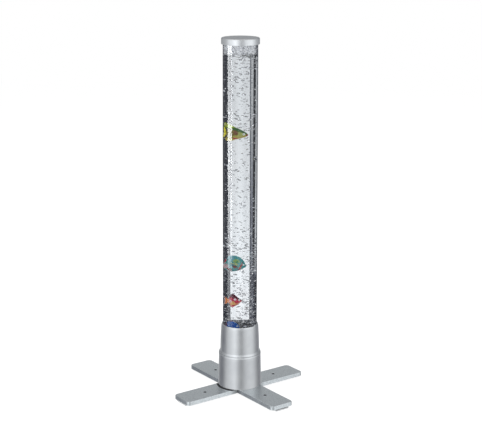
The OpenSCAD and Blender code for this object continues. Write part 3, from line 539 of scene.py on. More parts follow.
def board_green():
    f = Finish("board_green", (0.02, 0.16, 0.07), 0.35)
    trace = f.cells(0.004, f.scaled(1, 0.5, 0.5))
    weave = f.noise(0.0008, 2)
    f.dye(f.span(trace, 0.28, 0.34), (0.03, 0.22, 0.09), (0.012, 0.12, 0.05))
    f.emboss(trace, 0.00005, 0.4, f.bump(weave, 0.00003, 0.3))
    f.feed("Coat Weight", 0.4)
    return f.mat


def led_lens():
    f = moulded("led_lens", (0.8, 0.74, 0.42), (0.92, 0.89, 0.62), 0.22)
    f.feed("Subsurface Weight", 0.2)
    f.feed("Subsurface Radius", (0.002, 0.002, 0.001))
    f.feed("Coat Weight", 0.6)
    return f.mat


def white_foam():
    f = Finish("white_foam", (0.82, 0.82, 0.8), 0.9)
    pores = f.cells(0.0006)
    # Darker pores: painted shade in the pits that the bump makes
    f.dye(f.span(pores, 0, 0.3), (0.62, 0.62, 0.6), (0.86, 0.86, 0.84))
    f.emboss(pores, 0.0002, 0.8)
    return f.mat


def grey_button():
    f = moulded("grey_button", (0.62, 0.63, 0.64), (0.7, 0.71, 0.72), 0.28)
    f.feed("Coat Weight", 0.3)
    return f.mat


OWN_FINISHES = (satin_silver, bar_silver, pad_rubber, zinc_steel, clear_acrylic, clear_silicone,
                air_stone, copper_winding, board_green, led_lens, white_foam, grey_button)
MOULDED = {
    "white_plastic": ((0.78, 0.78, 0.75), (0.86, 0.86, 0.84), 0.3),
    "black_plastic": ((0.018, 0.018, 0.02), (0.035, 0.035, 0.038), 0.42),
    "amber_plastic": ((0.52, 0.3, 0.07), (0.66, 0.42, 0.12), 0.34),
    "black_rubber": ((0.02, 0.02, 0.021), (0.045, 0.045, 0.046), 0.62, 0.0015, 0.0001)}
# Finishes that the metal doesn't mirror
UNMIRRORED = ("bar_silver", "pad_rubber")


def make_finishes():
    made = {build.__name__: build() for build in OWN_FINISHES}
    made.update({name: moulded(name, *facts).mat for name, facts in MOULDED.items()})
    return made


def dress_nodes(made):
    """Every CAD solid gets its slot's finish, but for the fish, whose solids aren't shown."""
    for part in frame["record"]["subparts"]:
        node, slot = frame["nodes"][part["node"]], part["material_slot"]
        for place in node.material_slots:
            place.material = made.get(slot, place.material)
        if slot in UNMIRRORED:
            node.visible_glossy = False


# Edges that turn by more than this are shaded sharp
SHARP_ANGLE = math.radians(40)
# Clear tube and the water in it
TUBE_SIDES = 192
TUBE_EDGE = 0.4 * MM
# The water reaches this far into the tube's wall, so that no film of air parts them
WATER_GRIP = 0.12 * MM
WATER_Z = 0.996
WATER_RINGS = 40
WATER_IOR = 1.33
# Height of the waves, the share of the long ones in it, their lengths, and how much steeper
# the short ones grow between two x
WAVE, LONG_SHARE = 2.8 * MM, 0.9
LONG_WAVE, SHORT_WAVE = 0.024, 0.0075
SHORT_WAVE_SHIFT = Vector((3.1, 7.7, 0))
STEEP_X, STEEPER = (-0.008, 0.004), 2.6
# No wave reaches below this depth, where the water's even side starts
WAVE_DEEPEST = 12 * MM
# The water creeps up the wall: height, and distance from the wall over which it falls off
CREEP, CREEP_REACH = 1.5 * MM, 1.8 * MM


def new_piece(name, verts, faces, mat, sharp=True):
    mesh = bpy.data.meshes.new(name)
    mesh.from_pydata(verts, [], faces)
    mesh.materials.append(mat)
    mesh.polygons.foreach_set("use_smooth", [True] * len(mesh.polygons))
    mesh.update()
    if sharp:
        mesh.set_sharp_from_angle(angle=SHARP_ANGLE)
    return add_object(name, mesh)


def box_of(points):
    return [Vector([pick(p[i] for p in points) for i in range(3)]) for pick in (min, max)]


def circle(radius, z, sides=TUBE_SIDES):
    return [(radius * math.cos(TURN * i / sides), radius * math.sin(TURN * i / sides), z)
            for i in range(sides)]


def band(a, b, sides=TUBE_SIDES):
    """Quads between two rings of vertices that start at a and b."""
    return [(a + i, a + (i + 1) % sides, b + (i + 1) % sides, b + i) for i in range(sides)]


def turned_ring(profile):
    """Vertices and faces of a closed profile of radii and heights, turned round the tube's axis."""
    verts, faces = [], []
    for k, (radius, z) in enumerate(profile):
        verts += circle(radius, z)
        faces += band(k * TUBE_SIDES, (k + 1) % len(profile) * TUBE_SIDES)
    return verts, faces


def make_tube(mat):
    low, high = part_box("acrylic_tube")
    outer, inner = high.x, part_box("tube_foot_plate")[1].x
    edge = TUBE_EDGE
    profile = [(outer, low.z + edge), (outer, high.z - edge), (outer - edge, high.z),
               (inner + edge, high.z), (inner, high.z - edge), (inner, low.z + edge),
               (inner + edge, low.z), (outer - edge, low.z)]
    tube = new_piece("clear_tube", *turned_ring(profile), mat)
    tube.visible_shadow = False
    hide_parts("acrylic_tube")
    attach(tube, "stand")
    return inner


def wave_height(x, y):
    p = Vector((x, y, 0))
    long_wave = noise.noise(p / LONG_WAVE)
    short_wave = noise.noise(p / SHORT_WAVE + SHORT_WAVE_SHIFT)
    return WAVE * (LONG_SHARE * long_wave + (1 + STEEPER * smooth(x, *STEEP_X)) * short_wave)


def make_water(inner):
    mat = clear("water", (0.985, 0.99, 1), WATER_IOR).mat
    radius = inner + WATER_GRIP
    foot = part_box("tube_foot_plate")[1].z
    verts = [(0, 0, foot)] + circle(radius, foot) + circle(radius, WATER_Z - WAVE_DEEPEST)
    faces = [(0, 1 + (i + 1) % TUBE_SIDES, 1 + i) for i in range(TUBE_SIDES)]
    faces += band(1, 1 + TUBE_SIDES)
    start = 1 + TUBE_SIDES
    for k in range(WATER_RINGS):
        r = radius * (1 - k / WATER_RINGS)
        rise = CREEP * math.exp(-(radius - r) / CREEP_REACH)
        verts += [(x, y, z + wave_height(x, y) + rise) for x, y, z in circle(r, WATER_Z)]
        faces += band(start, start + TUBE_SIDES)
        start += TUBE_SIDES
    verts.append((0, 0, WATER_Z + wave_height(0, 0)))
    faces += [(start + i, start + (i + 1) % TUBE_SIDES, len(verts) - 1) for i in range(TUBE_SIDES)]
    water = new_piece("water", verts, faces, mat)
    water.visible_shadow = False
    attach(water, "stand")


# The pump's rubber diaphragm: its face follows the arm, its rim stays on the valve box
DIAPHRAGM_WALL = 1.5 * MM
DIAPHRAGM_SIDES = 48


def make_diaphragm(mat):
    low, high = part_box("pump_diaphragm")
    centre = (low + high) / 2
    radius, length, wall = (high.x - low.x) / 2, high.y - low.y, DIAPHRAGM_WALL
    profile = [(radius / 2, 0), (radius, length / 2), (radius, length), (radius - wall, length),
               (radius - wall, length / 2), ((radius - wall) / 2, wall)]
    verts, faces, count = [], [], DIAPHRAGM_SIDES
    for r, depth in profile:
        verts += [(centre.x + x, low.y + depth, centre.z + z) for x, z, _ in circle(r, 0, count)]
    for start in range(0, len(verts) - count, count):
        faces += band(start + count, start, count)
    faces += [tuple(range(count)), tuple(range(len(verts) - 1, len(verts) - count - 1, -1))]
    rubber = new_piece("rubber_diaphragm", verts, faces, mat)
    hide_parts("pump_diaphragm")
    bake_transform(rubber)


# Air bubbles: flattened and tilted, denser towards the bubble stone
BUBBLE_SEED = 11
BUBBLE_COUNT = 1250
BUBBLE_TRIES = 60
BUBBLE_CELL = 9 * MM
# Share of the bubbles below each height, which is a share of the water over the stone
BUBBLE_HEIGHTS = [(0, 0), (0.34, 0.2), (0.58, 0.42), (0.76, 0.72), (1, 1)]
# Room over the stone and below the surface, and to the tube's wall
BUBBLE_FOOT, BUBBLE_TOP, WALL_CLEAR = 3 * MM, 5 * MM, 0.8 * MM
# Sizes: more of them are small with a bias above 1, and the larger ones get a finer mesh
BUBBLE_SMALL, BUBBLE_LARGE, BUBBLE_BIAS, BUBBLE_FINE = 1.2 * MM, 3.5 * MM, 1.2, 2.4 * MM
BUBBLE_SQUASH, BUBBLE_LEAN, BUBBLE_UNDERSIDE = (0.42, 0.7), 0.5, 0.7
# Bulges: their height, how close they lie, and the range of places in the noise
BUBBLE_BULGE, BULGE_CLOSE, BULGE_RANGE = 0.14, 1.1, 100
# Two bubbles may overlap down to this share of their sizes' sum
BUBBLE_APART = 0.8
FISH_TURN = math.radians(9)
# Room left round each fish where it rests and at both ends of its way, with a bubble's reach
FISH_CLEAR, BUBBLE_REACH = 1 * MM, 1.1
# Room left before each resting fish, so that it shows: forward, over it and at its sides
VIEW_FRONT, VIEW_CLEAR = -1, 18 * MM
VIEW_WIDEN, VIEW_SIDE = 1.25, 8 * MM


def fish_rooms():
    """Boxes that the fish fill, in axes turned to the way that the fish face."""
    rooms = []
    back = Matrix.Rotation(-FISH_TURN, 3, "Z")
    ranges = {j["child"]: j["range_m"] for j in frame["record"]["behaviour"]["joints"]
              if j["type"] == "slide"}
    for name in FISH:
        node = frame["nodes"]["fish_" + name]
        low, high = box_of([back @ v.co for v in node.data.vertices])
        for shift in ranges[name + "_swimmer"]:
            rooms.append((low + Vector((0, 0, shift)), high + Vector((0, 0, shift))))
        rooms.append((Vector((low.x * VIEW_WIDEN - VIEW_SIDE, VIEW_FRONT, low.z)),
                      Vector((high.x * VIEW_WIDEN + VIEW_SIDE, high.y, high.z + VIEW_CLEAR))))
    return rooms


def ball(subdivisions):
    bm = bmesh.new()
    bmesh.ops.create_icosphere(bm, subdivisions=subdivisions, radius=1)
    verts = [v.co.copy() for v in bm.verts]
    faces = [tuple(v.index for v in f.verts) for f in bm.faces]
    bm.free()
    return verts, faces


def in_a_room(point, grown, rooms):
    return any(all(low[i] - grown < point[i] < high[i] + grown for i in range(3))
               for low, high in rooms)


def bubble_place(rng, size, z, inner, rooms, grid):
    """A free place at this height, clear of the fish's rooms and of most other bubbles."""
    back = Matrix.Rotation(-FISH_TURN, 3, "Z")
    for _ in range(BUBBLE_TRIES):
        r = (inner - WALL_CLEAR - size) * math.sqrt(rng.random())
        turn = rng.random() * TURN
        centre = Vector((r * math.cos(turn), r * math.sin(turn), z))
        if in_a_room(back @ centre, size * BUBBLE_REACH + FISH_CLEAR, rooms):
            continue
        cell = tuple(int(c // BUBBLE_CELL) for c in centre)
        near = [b for dx in (-1, 0, 1) for dy in (-1, 0, 1) for dz in (-1, 0, 1)
                for b in grid.get((cell[0] + dx, cell[1] + dy, cell[2] + dz), [])]
        if all((centre - c).length > BUBBLE_APART * (size + s) for c, s in near):
            grid.setdefault(cell, []).append((centre, size))
            return centre
    return None


# Painted glints, a glow on the bubbles in place of light from the lamps in the base: its range,
# the share of bubbles that get one, and the part of their undersides that glows, on a ball of
# radius 1
GLINT = (0.3, 0.9)
GLINT_SHARE = 0.6
GLINT_BELOW, GLINT_LEFT = -0.3, 0.4


def bubble_air():
    f = clear("air", (1, 1, 1), 1 / WATER_IOR)
    # Emission on the bubbles' undersides: painted glints
    glint = f.attribute("glint")["Fac"]
    f.feed("Emission Color", f.mix(glint, (0.7, 0.76, 0.9), (1, 1, 1)))
    f.feed("Emission Strength", glint)
    return f.mat


def make_bubbles(inner):
    rng = random.Random(BUBBLE_SEED)
    coarse, fine = ball(2), ball(3)
    rooms, grid = fish_rooms(), {}
    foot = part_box("bubble_stone")[1].z + BUBBLE_FOOT
    verts, faces, glints = [], [], []
    for _ in range(BUBBLE_COUNT):
        size = BUBBLE_SMALL + (BUBBLE_LARGE - BUBBLE_SMALL) * rng.random() ** BUBBLE_BIAS
        z = foot + (WATER_Z - BUBBLE_TOP - foot) * between(BUBBLE_HEIGHTS, rng.random())
        centre = bubble_place(rng, size, z, inner, rooms, grid)
        if centre is None:
            continue
        squash = rng.uniform(*BUBBLE_SQUASH)
        lean, lean_way = rng.gauss(0, BUBBLE_LEAN), rng.random() * TURN
        wobble = Vector((rng.random() * BULGE_RANGE, 0, 0))
        # Strength of this bubble's painted glint, or none
        painted_glint = rng.uniform(*GLINT) if rng.random() < GLINT_SHARE else 0
        points, tris = fine if size > BUBBLE_FINE else coarse
        tilt = Matrix.Rotation(lean, 3, Vector((math.cos(lean_way), math.sin(lean_way), 0)))
        faces += [tuple(len(verts) + i for i in f) for f in tris]
        for p in points:
            bulge = 1 + BUBBLE_BULGE * noise.noise(p * BULGE_CLOSE + wobble)
            q = Vector((p.x, p.y, p.z * squash * (BUBBLE_UNDERSIDE if p.z < 0 else 1)))
            verts.append(tuple(centre + tilt @ (q * size * bulge)))
            glints.append(painted_glint if p.z < GLINT_BELOW and p.x < GLINT_LEFT else 0)
    bubbles = new_piece("air_bubbles", verts, faces, bubble_air(), sharp=False)
    glow = bubbles.data.attributes.new("glint", "FLOAT", "POINT")
    glow.data.foreach_set("value", glints)
    bubbles.visible_shadow = False
    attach(bubbles, "stand")


# Mist of fine drops on the inside of the wall over the water: clear of the wall, thickness,
# ends over the water and below the tube's top, and the heights over which it gets its full tint
MIST_CLEAR, MIST_T = 0.35 * MM, 0.15 * MM
MIST_LOW, MIST_HIGH = 4 * MM, 1 * MM
MIST_RISE = (WATER_Z + 0.004, WATER_Z + 0.012)


def mist():
    """Clear where there is no mist, grey-blue where it is thick, in soft mottles."""
    f = Finish("mist", (0.72, 0.75, 0.82), 0.55)
    mottle = f.noise(0.0042, 4, rough=0.75)
    thin = f.span(f.parts(f.place)[2], *MIST_RISE, 0.08, 0.5)
    fine = f.noise(0.0028, 2)
    f.dye(f.span(fine, 0.44, 0.6), (0.74, 0.76, 0.79), (0.3, 0.32, 0.37))
    f.feed("Alpha", f.math("MULTIPLY", f.span(mottle, 0.4, 0.6), thin))
    f.emboss(mottle, 0.0004, 0.8)
    return f.mat


def make_mist(inner):
    low, high = WATER_Z + MIST_LOW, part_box("acrylic_tube")[1].z - MIST_HIGH
    r = inner - MIST_CLEAR
    profile = [(r, low), (r, high), (r - MIST_T, high), (r - MIST_T, low)]
    piece = new_piece("water_mist", *turned_ring(profile), mist())
    piece.visible_shadow = False
    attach(piece, "stand")


# Drops that the bursting bubbles leave on the tube's wall over the water
DROP_SEED = 11
DROP_COUNT = 420
# Sizes in mm, how tall for that size, and more of them low down with a bias above 1
DROP_SIZE, DROP_TALL, DROP_BIAS = (0.7, 2.6), (0.9, 1.4), 1.4
# How far they stand off the wall, as a share of their size, and reach into it
DROP_FLAT, DROP_GRIP = 0.55, 0.05 * MM
DROP_LOW, DROP_HIGH = 5 * MM, 4 * MM


def make_drops(inner):
    rng = random.Random(DROP_SEED)
    points, tris = ball(2)
    low, high = WATER_Z + DROP_LOW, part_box("acrylic_tube")[1].z - DROP_HIGH
    verts, faces = [], []
    for _ in range(DROP_COUNT):
        size = rng.uniform(*DROP_SIZE) * MM
        z = low + (high - low) * rng.random() ** DROP_BIAS
        turn = rng.random() * TURN
        out = Vector((math.cos(turn), math.sin(turn), 0))
        along = Vector((-out.y, out.x, 0))
        tall = rng.uniform(*DROP_TALL)
        faces += [tuple(len(verts) + i for i in f) for f in tris]
        for p in points:
            place = out * (inner + DROP_GRIP + min(p.x, 0) * size * DROP_FLAT)
            up = Vector((0, 0, z + p.z * size * tall))
            verts.append(tuple(place + along * (p.y * size) + up))
    mat = clear("drops", (1, 1, 1), WATER_IOR).mat
    drops = new_piece("water_drops", verts, faces, mat, sharp=False)
    drops.visible_shadow = False
    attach(drops, "stand")


# Fish. Shapes are hundredths of length and height: nose 0, tail tip 100, belly 0, back 100.
# Body rows: place along the fish, lower edge, upper edge, hundredths of the fish's thickness.
# Fins: root line and edge line. "dip" is how far the nose points down, in degrees.
# Thickness as a share of the height
THICK_SHARE = 0.19
FISH = {
    "yellow": {
      "l": 56 * MM, "h": 52 * MM, "dip": 4, "eye": (16.5, 43),
      "body": [
        (0, 37, 41, 15), (5, 31, 48, 42), (15, 25, 57, 72), (28, 18, 66, 95),
        (42, 12, 74, 100), (56, 11, 76, 90), (68, 19, 70, 60), (78, 29, 58, 34),
        (85, 34, 52, 20)],
      "fins": [
        ([(34, 64), (50, 69), (64, 66), (77, 56)],
         [(36, 69), (50, 78), (64, 87), (80, 96), (92, 100), (98.5, 94), (97.5, 84), (90, 72)]),
        ([(40, 20), (55, 20), (76, 34)],
         [(43, 13), (56, 4), (70, 0), (82, 3), (86, 12), (81, 24)]),
        ([(82, 52), (83, 44), (82, 35)],
         [(92, 72), (100, 78), (95.5, 58), (94.5, 46), (95.5, 32), (100, 14), (92, 18)])]},
    "teal": {
      "l": 44 * MM, "h": 48 * MM, "dip": 18, "eye": (14, 56),
      "body": [
        (0, 45, 50, 15), (5, 38, 58, 42), (15, 24, 73, 72), (29, 11, 87, 95),
        (45, 5, 94, 100), (60, 7, 92, 92), (72, 17, 83, 66), (81, 30, 70, 38),
        (88, 39, 61, 22)],
      "fins": [
        ([(26, 80), (45, 88), (62, 86), (82, 64)],
         [(30, 88), (45, 97), (60, 100), (75, 99), (88, 93), (95, 81), (91, 68)]),
        ([(28, 18), (45, 10), (62, 12), (82, 36)],
         [(30, 11), (45, 2), (60, 0), (76, 2), (88, 8), (95, 20), (91, 32)]),
        ([(86, 60), (87, 50), (86, 40)],
         [(95, 68), (100, 66), (98.5, 58), (98, 50), (98.5, 42), (100, 34), (95, 32)])]},
    "red": {
      "l": 45 * MM, "h": 40 * MM, "dip": -2, "eye": (13, 54),
      "body": [
        (0, 44, 50, 15), (6, 36, 58, 45), (17, 23, 72, 78), (30, 11, 87, 100),
        (42, 6, 93, 100), (54, 15, 80, 80), (65, 28, 66, 50), (74, 35, 58, 30)],
      "fins": [
        ([(24, 70), (42, 84), (62, 64)],
         [(26, 82), (36, 95), (46, 100), (60, 86), (67, 66)]),
        ([(26, 22), (42, 14), (60, 28)],
         [(29, 12), (42, 3), (52, 0), (60, 10), (63, 28)]),
        ([(72, 56), (74, 46), (72, 38)],
         [(85, 76), (100, 84), (95.5, 64), (94, 50), (95.5, 36), (100, 20), (86, 22)])]},
    "blue": {
      "l": 38 * MM, "h": 34 * MM, "dip": 2, "eye": (14, 55),
      "body": [
        (0, 43, 50, 15), (5, 34, 60, 45), (15, 21, 75, 76), (29, 11, 87, 96),
        (44, 7, 92, 100), (58, 11, 88, 86), (70, 22, 76, 56), (79, 35, 62, 30),
        (85, 40, 57, 20)],
      "fins": [
        ([(28, 80), (48, 86), (64, 80), (80, 60)],
         [(32, 88), (48, 98), (62, 100), (76, 95), (86, 76)]),
        ([(28, 18), (45, 12), (60, 18), (73, 34)],
         [(30, 11), (44, 2), (58, 0), (70, 7), (77, 23)]),
        ([(83, 56), (84, 49), (83, 42)],
         [(92, 78), (100, 84), (96, 64), (95, 49), (96, 34), (100, 14), (92, 20)])]}}
BODY_RINGS, BODY_SIDES = 44, 28
# Sections are a little fuller than ovals
BODY_FULLNESS = 0.85
# Swellings of the body: place along the fish, reach, share
GILL, LIPS = (0.235, 0.016, 0.07), (0.012, 0.012, 0.18)
# Fins: thickness, its share between the rays, mesh steps, rays and how far these stick out
FIN_ROOT_T, FIN_EDGE_T, FIN_THIN = 1.4 * MM, 0.5 * MM, 0.62
FIN_ACROSS, FIN_OUT, FIN_RAYS, FIN_FRINGE = 30, 9, 11, 0.012
# Small fins on the flanks: mesh steps, where they start, how far they reach back and droop,
# their width along the way, how deep they sit, their thickness, lean outwards and rays
FLANK_ACROSS, FLANK_OUT = 12, 6
FLANK_U, FLANK_BACK, FLANK_V, FLANK_DROOP = 0.4, 0.17, 0.4, 0.05
FLANK_WIDTH, FLANK_SIT = (0.05, 0.14, 0.06), 0.94
FLANK_T, FLANK_AWAY, FLANK_RAY = 0.5 * MM, 0.9 * MM, 0.12 * MM
# Eyes: radius as a share of the length, how deep they sit, their thickness and pupil
EYE_R, EYE_DEPTH, EYE_FLAT, PUPIL_R = 0.056, 0.86, 0.42, 0.22
# Places along a body where its edges are known
EDGE_STEPS = 100


def hundredths(rows):
    return [tuple(x / 100 for x in row) for row in rows]


def curve_at(rows, t):
    """Catmull-Rom through the rows, t from 0 to 1."""
    spans = len(rows) - 1
    x = min(max(t, 0), 1) * spans
    k = min(int(x), spans - 1)
    f = x - k
    p = [rows[min(max(i, 0), spans)] for i in (k - 1, k, k + 1, k + 2)]
    return [0.5 * (2 * b + (c - a) * f + (2 * a - 5 * b + 4 * c - d) * f * f
                   + (3 * b - a - 3 * c + d) * f ** 3) for a, b, c, d in zip(*p)]


class Model:
    """Vertices, faces with a material number, and each vertex's place in fish shares:
    along the fish, up it, and up its body, which is 0 at the body's belly and 1 at its back."""

    def __init__(self, length, height, rows):
        self.l, self.h = length, height
        self.verts, self.faces, self.kinds, self.shares = [], [], [], []
        fine = 2 * EDGE_STEPS
        curve = [curve_at(rows, k / fine) for k in range(fine + 1)]
        self.edges = [min(curve, key=lambda row: abs(row[0] - k / EDGE_STEPS))[1:3]
                      for k in range(EDGE_STEPS + 1)]

    def add(self, u, v, side):
        low, high = self.edges[round(min(max(u, 0), 1) * EDGE_STEPS)]
        self.verts.append(((0.5 - u) * self.l, side, (v - 0.5) * self.h))
        self.shares.append((u, v, (v - low) / (high - low)))
        return len(self.verts) - 1

    def face(self, corners, kind=0):
        self.faces.append(tuple(corners))
        self.kinds.append(kind)

    def grid(self, rows, closed=False):
        for a, b in zip(rows, rows[1:]):
            count = len(a)
            for i in range(count if closed else count - 1):
                j = (i + 1) % count
                self.face((a[i], a[j], b[j], b[i]))

    def sheet(self, front, rear, flip=False):
        """A thin sheet of two grids of vertices, closed round their rims."""
        self.grid([row[::-1] for row in front] if flip else front)
        self.grid(rear if flip else [row[::-1] for row in rear])
        a, b = ([*r[0], *(x[-1] for x in r[1:]), *r[-1][-2::-1], *(x[0] for x in r[-2:0:-1])]
                for r in (front, rear))
        for i in range(len(a)):
            j = (i + 1) % len(a)
            quad = (a[j], a[i], b[i], b[j])
            self.face(quad[::-1] if flip else quad)


def swelling(u, place, reach, share):
    return share * math.exp(-((u - place) / reach) ** 2)


def add_body(model, rows):
    thick = THICK_SHARE * model.h
    rings = []
    for k in range(BODY_RINGS + 1):
        u, low, high, share = curve_at(rows, k / BODY_RINGS)
        middle, half = (low + high) / 2, (high - low) / 2
        gill, lips = swelling(u, *GILL), swelling(u, *LIPS)
        ring = []
        for i in range(BODY_SIDES):
            turn = TURN * i / BODY_SIDES
            across = math.copysign(abs(math.cos(turn)) ** BODY_FULLNESS, math.cos(turn))
            v = middle + half * math.sin(turn) * (1 + lips)
            side = across * share * thick / 2 * (1 + gill * (1 - math.sin(turn) ** 2) + lips)
            ring.append(model.add(u, v, side))
        rings.append(ring)
    model.grid(rings, closed=True)
    model.face(rings[0][::-1])
    model.face(rings[-1])


def add_fin(model, root, edge):
    """A fin from its root line to its edge line, thinner outwards, with raised rays."""
    sides = []
    for sign in (1, -1):
        sides.append([])
        for j in range(FIN_OUT + 1):
            s = j / FIN_OUT
            row = []
            for i in range(FIN_ACROSS + 1):
                t = i / FIN_ACROSS
                ru, rv = curve_at(root, t)
                eu, ev = curve_at(edge, t)
                fringe = FIN_FRINGE * s * s * math.sin(FIN_RAYS * TURN * t)
                u, v = ru + (eu - ru) * (s + fringe), rv + (ev - rv) * (s + fringe)
                rib = 0.5 + 0.5 * math.cos(FIN_RAYS * TURN * t)
                half = (FIN_ROOT_T + (FIN_EDGE_T - FIN_ROOT_T) * s) / 2
                half *= FIN_THIN + (1 - FIN_THIN) * rib
                row.append(model.add(u, v, sign * half))
            sides[-1].append(row)
    model.sheet(*sides)


def add_flank_fins(model, rows):
    """A pair of small fins that lie back along the flanks."""
    wide = curve_at(rows, 0.5)[3] * THICK_SHARE * model.h / 2
    start, grow, taper = FLANK_WIDTH
    for sign in (1, -1):
        grid = []
        for j in range(FLANK_OUT + 1):
            s = j / FLANK_OUT
            row = []
            for i in range(FLANK_ACROSS + 1):
                t = i / FLANK_ACROSS
                across = (t - 0.5) * (start + grow * s - taper * s * s)
                rib = FLANK_RAY * math.cos(3 * TURN * t)
                row.append((FLANK_U + FLANK_BACK * s, FLANK_V - FLANK_DROOP * s + across,
                            sign * (wide * FLANK_SIT + FLANK_AWAY * s + rib)))
            grid.append(row)
        front, rear = ([[model.add(u, v, y - sign * depth) for u, v, y in row] for row in grid]
                       for depth in (0, FLANK_T))
        model.sheet(front, rear, flip=sign < 0)


def add_eyes(model, rows, place):
    points, tris = ball(3)
    u0, v0 = place
    nearest = min(range(EDGE_STEPS + 1),
                  key=lambda i: abs(curve_at(rows, i / EDGE_STEPS)[0] - u0))
    wide = curve_at(rows, nearest / EDGE_STEPS)[3] * THICK_SHARE * model.h / 2
    radius = EYE_R * model.l
    for sign in (1, -1):
        start = len(model.verts)
        for p in points:
            model.add(u0 - p.x * radius / model.l, v0 + p.z * radius / model.h,
                      sign * (wide * EYE_DEPTH + p.y * sign * radius * EYE_FLAT))
        for f in tris:
            centre = sum((points[i] for i in f), Vector()) / 3
            pupil = math.hypot(centre.x, centre.z) < PUPIL_R and centre.y * sign > 0
            model.face((start + i for i in f), 2 if pupil else 1)


# Paint: how ragged its edges are, and the heights on the body where belly and back colours end
RAGGED, RAGGED_SIZE = 0.22, 0.09
BELLY_UP, BACK_UP = (0.16, 0.4), (0.6, 0.8)


def fish_paint(name, base, patches):
    """Paint in fish shares: belly, middle and back colours, then patches with ragged edges."""
    belly, middle, back = hundredths(base)
    f = Finish(name + "_fish_paint", middle, 0.22)
    place = f.attribute("share")["Vector"]
    lumps = f.math("SUBTRACT", f.noise(RAGGED_SIZE, 3, place), 0.5)
    ragged = f.math("MULTIPLY", lumps, RAGGED)
    u, v, up = (f.math("ADD", part, ragged) for part in f.parts(place))
    color = f.mix(f.span(up, *BELLY_UP), belly, middle)
    color = f.mix(f.span(up, *BACK_UP), color, back)
    for pu, pv, ru, rv, *tint, soft in hundredths(patches):
        du = f.math("DIVIDE", f.math("SUBTRACT", u, pu), ru)
        dv = f.math("DIVIDE", f.math("SUBTRACT", v, pv), rv)
        near = f.span(f.square_sum(du, dv), 1 - soft, 1 + soft, 1, 0)
        color = f.mix(near, color, tuple(tint))
    speck = f.noise(0.02, 2, place)
    color = f.mix(f.span(speck, 0.62, 0.72, 0, 0.35), color, (0.92, 0.9, 0.82))
    f.feed("Base Color", color)
    scales = f.cells(0.035, place)
    f.emboss(scales, 0.0003, 0.45)
    f.feed("Roughness", f.span(scales, 0.1, 0.6, 0.2, 0.34))
    f.feed("Coat Weight", 0.5)
    f.feed("Coat Roughness", 0.08)
    return f.mat


# In hundredths: belly, middle and back colours, then patches, which are u, v, half sizes,
# colour and softness
PAINTS = {
    "yellow": (((42, 34, 6), (26, 31, 4.5), (3, 9.5, 2)), [
        (52, 46, 14, 14, 13, 4.5, 1.2, 40),
        (72, 42, 16, 34, 15, 12, 1, 50),
        (48, 17, 10, 5, 42, 2, 9, 25),
        (76, 88, 24, 17, 28, 37, 0, 40),
        (90, 90, 5, 5, 42, 36, 22, 50),
        (86, 70, 10, 6, 4, 8, 1, 50),
        (97, 46, 11, 30, 80, 72, 2, 30),
        (62, 8, 16, 9, 42, 34, 6, 50),
        (3, 46, 8, 6, 6, 14, 2, 40),
        (0, 37, 7, 7, 26, 1, 3, 30)]),
    "teal": (((10, 32, 33), (3, 24, 25), (4, 26, 27)), [
        (82, 80, 16, 20, 12, 33, 38, 60),
        (52, 70, 16, 12, 22, 34, 10, 50),
        (49, 68, 8, 6, 1, 17, 5, 40),
        (52, 50, 20, 4, 42, 44, 12, 50),
        (60, 42, 16, 4.5, 0, 11, 15, 50),
        (45, 34, 14, 7, 20, 4.5, 3.5, 50),
        (22, 42, 3.5, 30, 32, 4, 3, 50),
        (20, 18, 10, 7, 22, 1, 3, 50),
        (62, 10, 12, 7, 16, 0, 0.5, 40),
        (86, 22, 14, 16, 52, 36, 38, 60),
        (99, 52, 6, 14, 42, 1, 3, 40)]),
    "red": (((62, 22, 13), (46, 1, 6), (7, 0, 1.2)), [
        (34, 60, 7, 9, 74, 60, 64, 60),
        (48, 30, 14, 16, 76, 42, 14, 60),
        (56, 60, 10, 15, 46, 0.5, 5, 40),
        (24, 42, 12, 10, 46, 0.5, 5, 50),
        (60, 46, 6, 10, 74, 50, 54, 50),
        (10, 62, 12, 10, 5, 0, 0.8, 50),
        (78, 44, 12, 34, 72, 22, 5, 50),
        (98, 52, 8, 40, 78, 62, 60, 40),
        (46, 8, 10, 8, 62, 4, 9, 50)]),
    "blue": (((0, 5.5, 26), (0, 8.5, 36), (0, 7.5, 32)), [
        (40, 60, 16, 20, 0.8, 8, 38, 70),
        (98, 52, 14, 50, 10, 2, 10, 50),
        (62, 100, 40, 6, 14, 4, 10, 50),
        (50, 2, 40, 8, 10, 3, 13, 50)])}


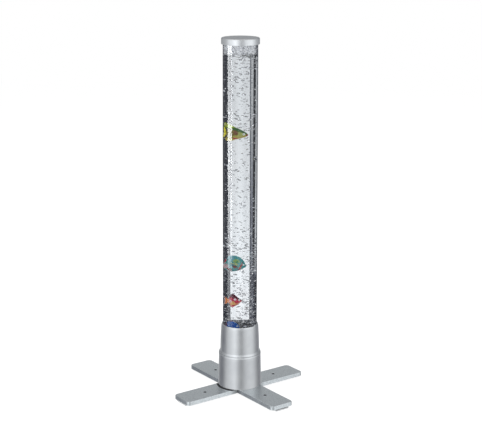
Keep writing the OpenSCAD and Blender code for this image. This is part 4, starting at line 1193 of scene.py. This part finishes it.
def make_fish(name, eye_white, eye_dark):
    facts = FISH[name]
    body, (eye,) = hundredths(facts["body"]), hundredths([facts["eye"]])
    model = Model(facts["l"], facts["h"], body)
    add_body(model, body)
    for root, edge in facts["fins"]:
        add_fin(model, hundredths(root), hundredths(edge))
    add_flank_fins(model, body)
    add_eyes(model, body, eye)
    dip = Matrix.Rotation(math.radians(facts["dip"]), 3, "Y")
    place = Matrix.Rotation(FISH_TURN, 3, "Z") @ dip
    turned = [place @ Vector(v) for v in model.verts]
    low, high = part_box("fish_" + name)
    my_low, my_high = box_of(turned)
    shift = (low + high) / 2 - (my_low + my_high) / 2
    verts = [tuple(v + shift) for v in turned]
    fish = new_piece("painted_fish_" + name, verts, model.faces, fish_paint(name, *PAINTS[name]))
    fish.data.materials.append(eye_white)
    fish.data.materials.append(eye_dark)
    fish.data.polygons.foreach_set("material_index", model.kinds)
    layer = fish.data.attributes.new("share", "FLOAT_VECTOR", "POINT")
    layer.data.foreach_set("vector", [x for share in model.shares for x in share])
    bm = bmesh.new()
    bm.from_mesh(fish.data)
    bmesh.ops.recalc_face_normals(bm, faces=bm.faces)
    bm.to_mesh(fish.data)
    bm.free()
    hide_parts("fish_" + name)
    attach(fish, name + "_swimmer")


def make_all_fish():
    white = moulded("fish_eye_white", (0.82, 0.84, 0.84), (0.92, 0.93, 0.92), 0.15)
    white.feed("Coat Weight", 0.8)
    dark = moulded("fish_eye_dark", (0.01, 0.01, 0.012), (0.02, 0.02, 0.024), 0.12)
    dark.feed("Coat Weight", 0.8)
    for name in FISH:
        make_fish(name, white.mat, dark.mat)


make_camera()
make_ring()
make_floor()
make_lamps()
make_world()
finishes = make_finishes()
dress_nodes(finishes)
inner_r = make_tube(finishes["clear_acrylic"])
make_water(inner_r)
make_diaphragm(finishes["black_rubber"])
make_bubbles(inner_r)
make_mist(inner_r)
make_drops(inner_r)
make_all_fish()

scene = bpy.context.scene
scene.view_settings.view_transform = "Standard"
scene.cycles.max_bounces = 24
scene.cycles.transmission_bounces = 24
scene.cycles.glossy_bounces = 8
scene.cycles.transparent_max_bounces = 16
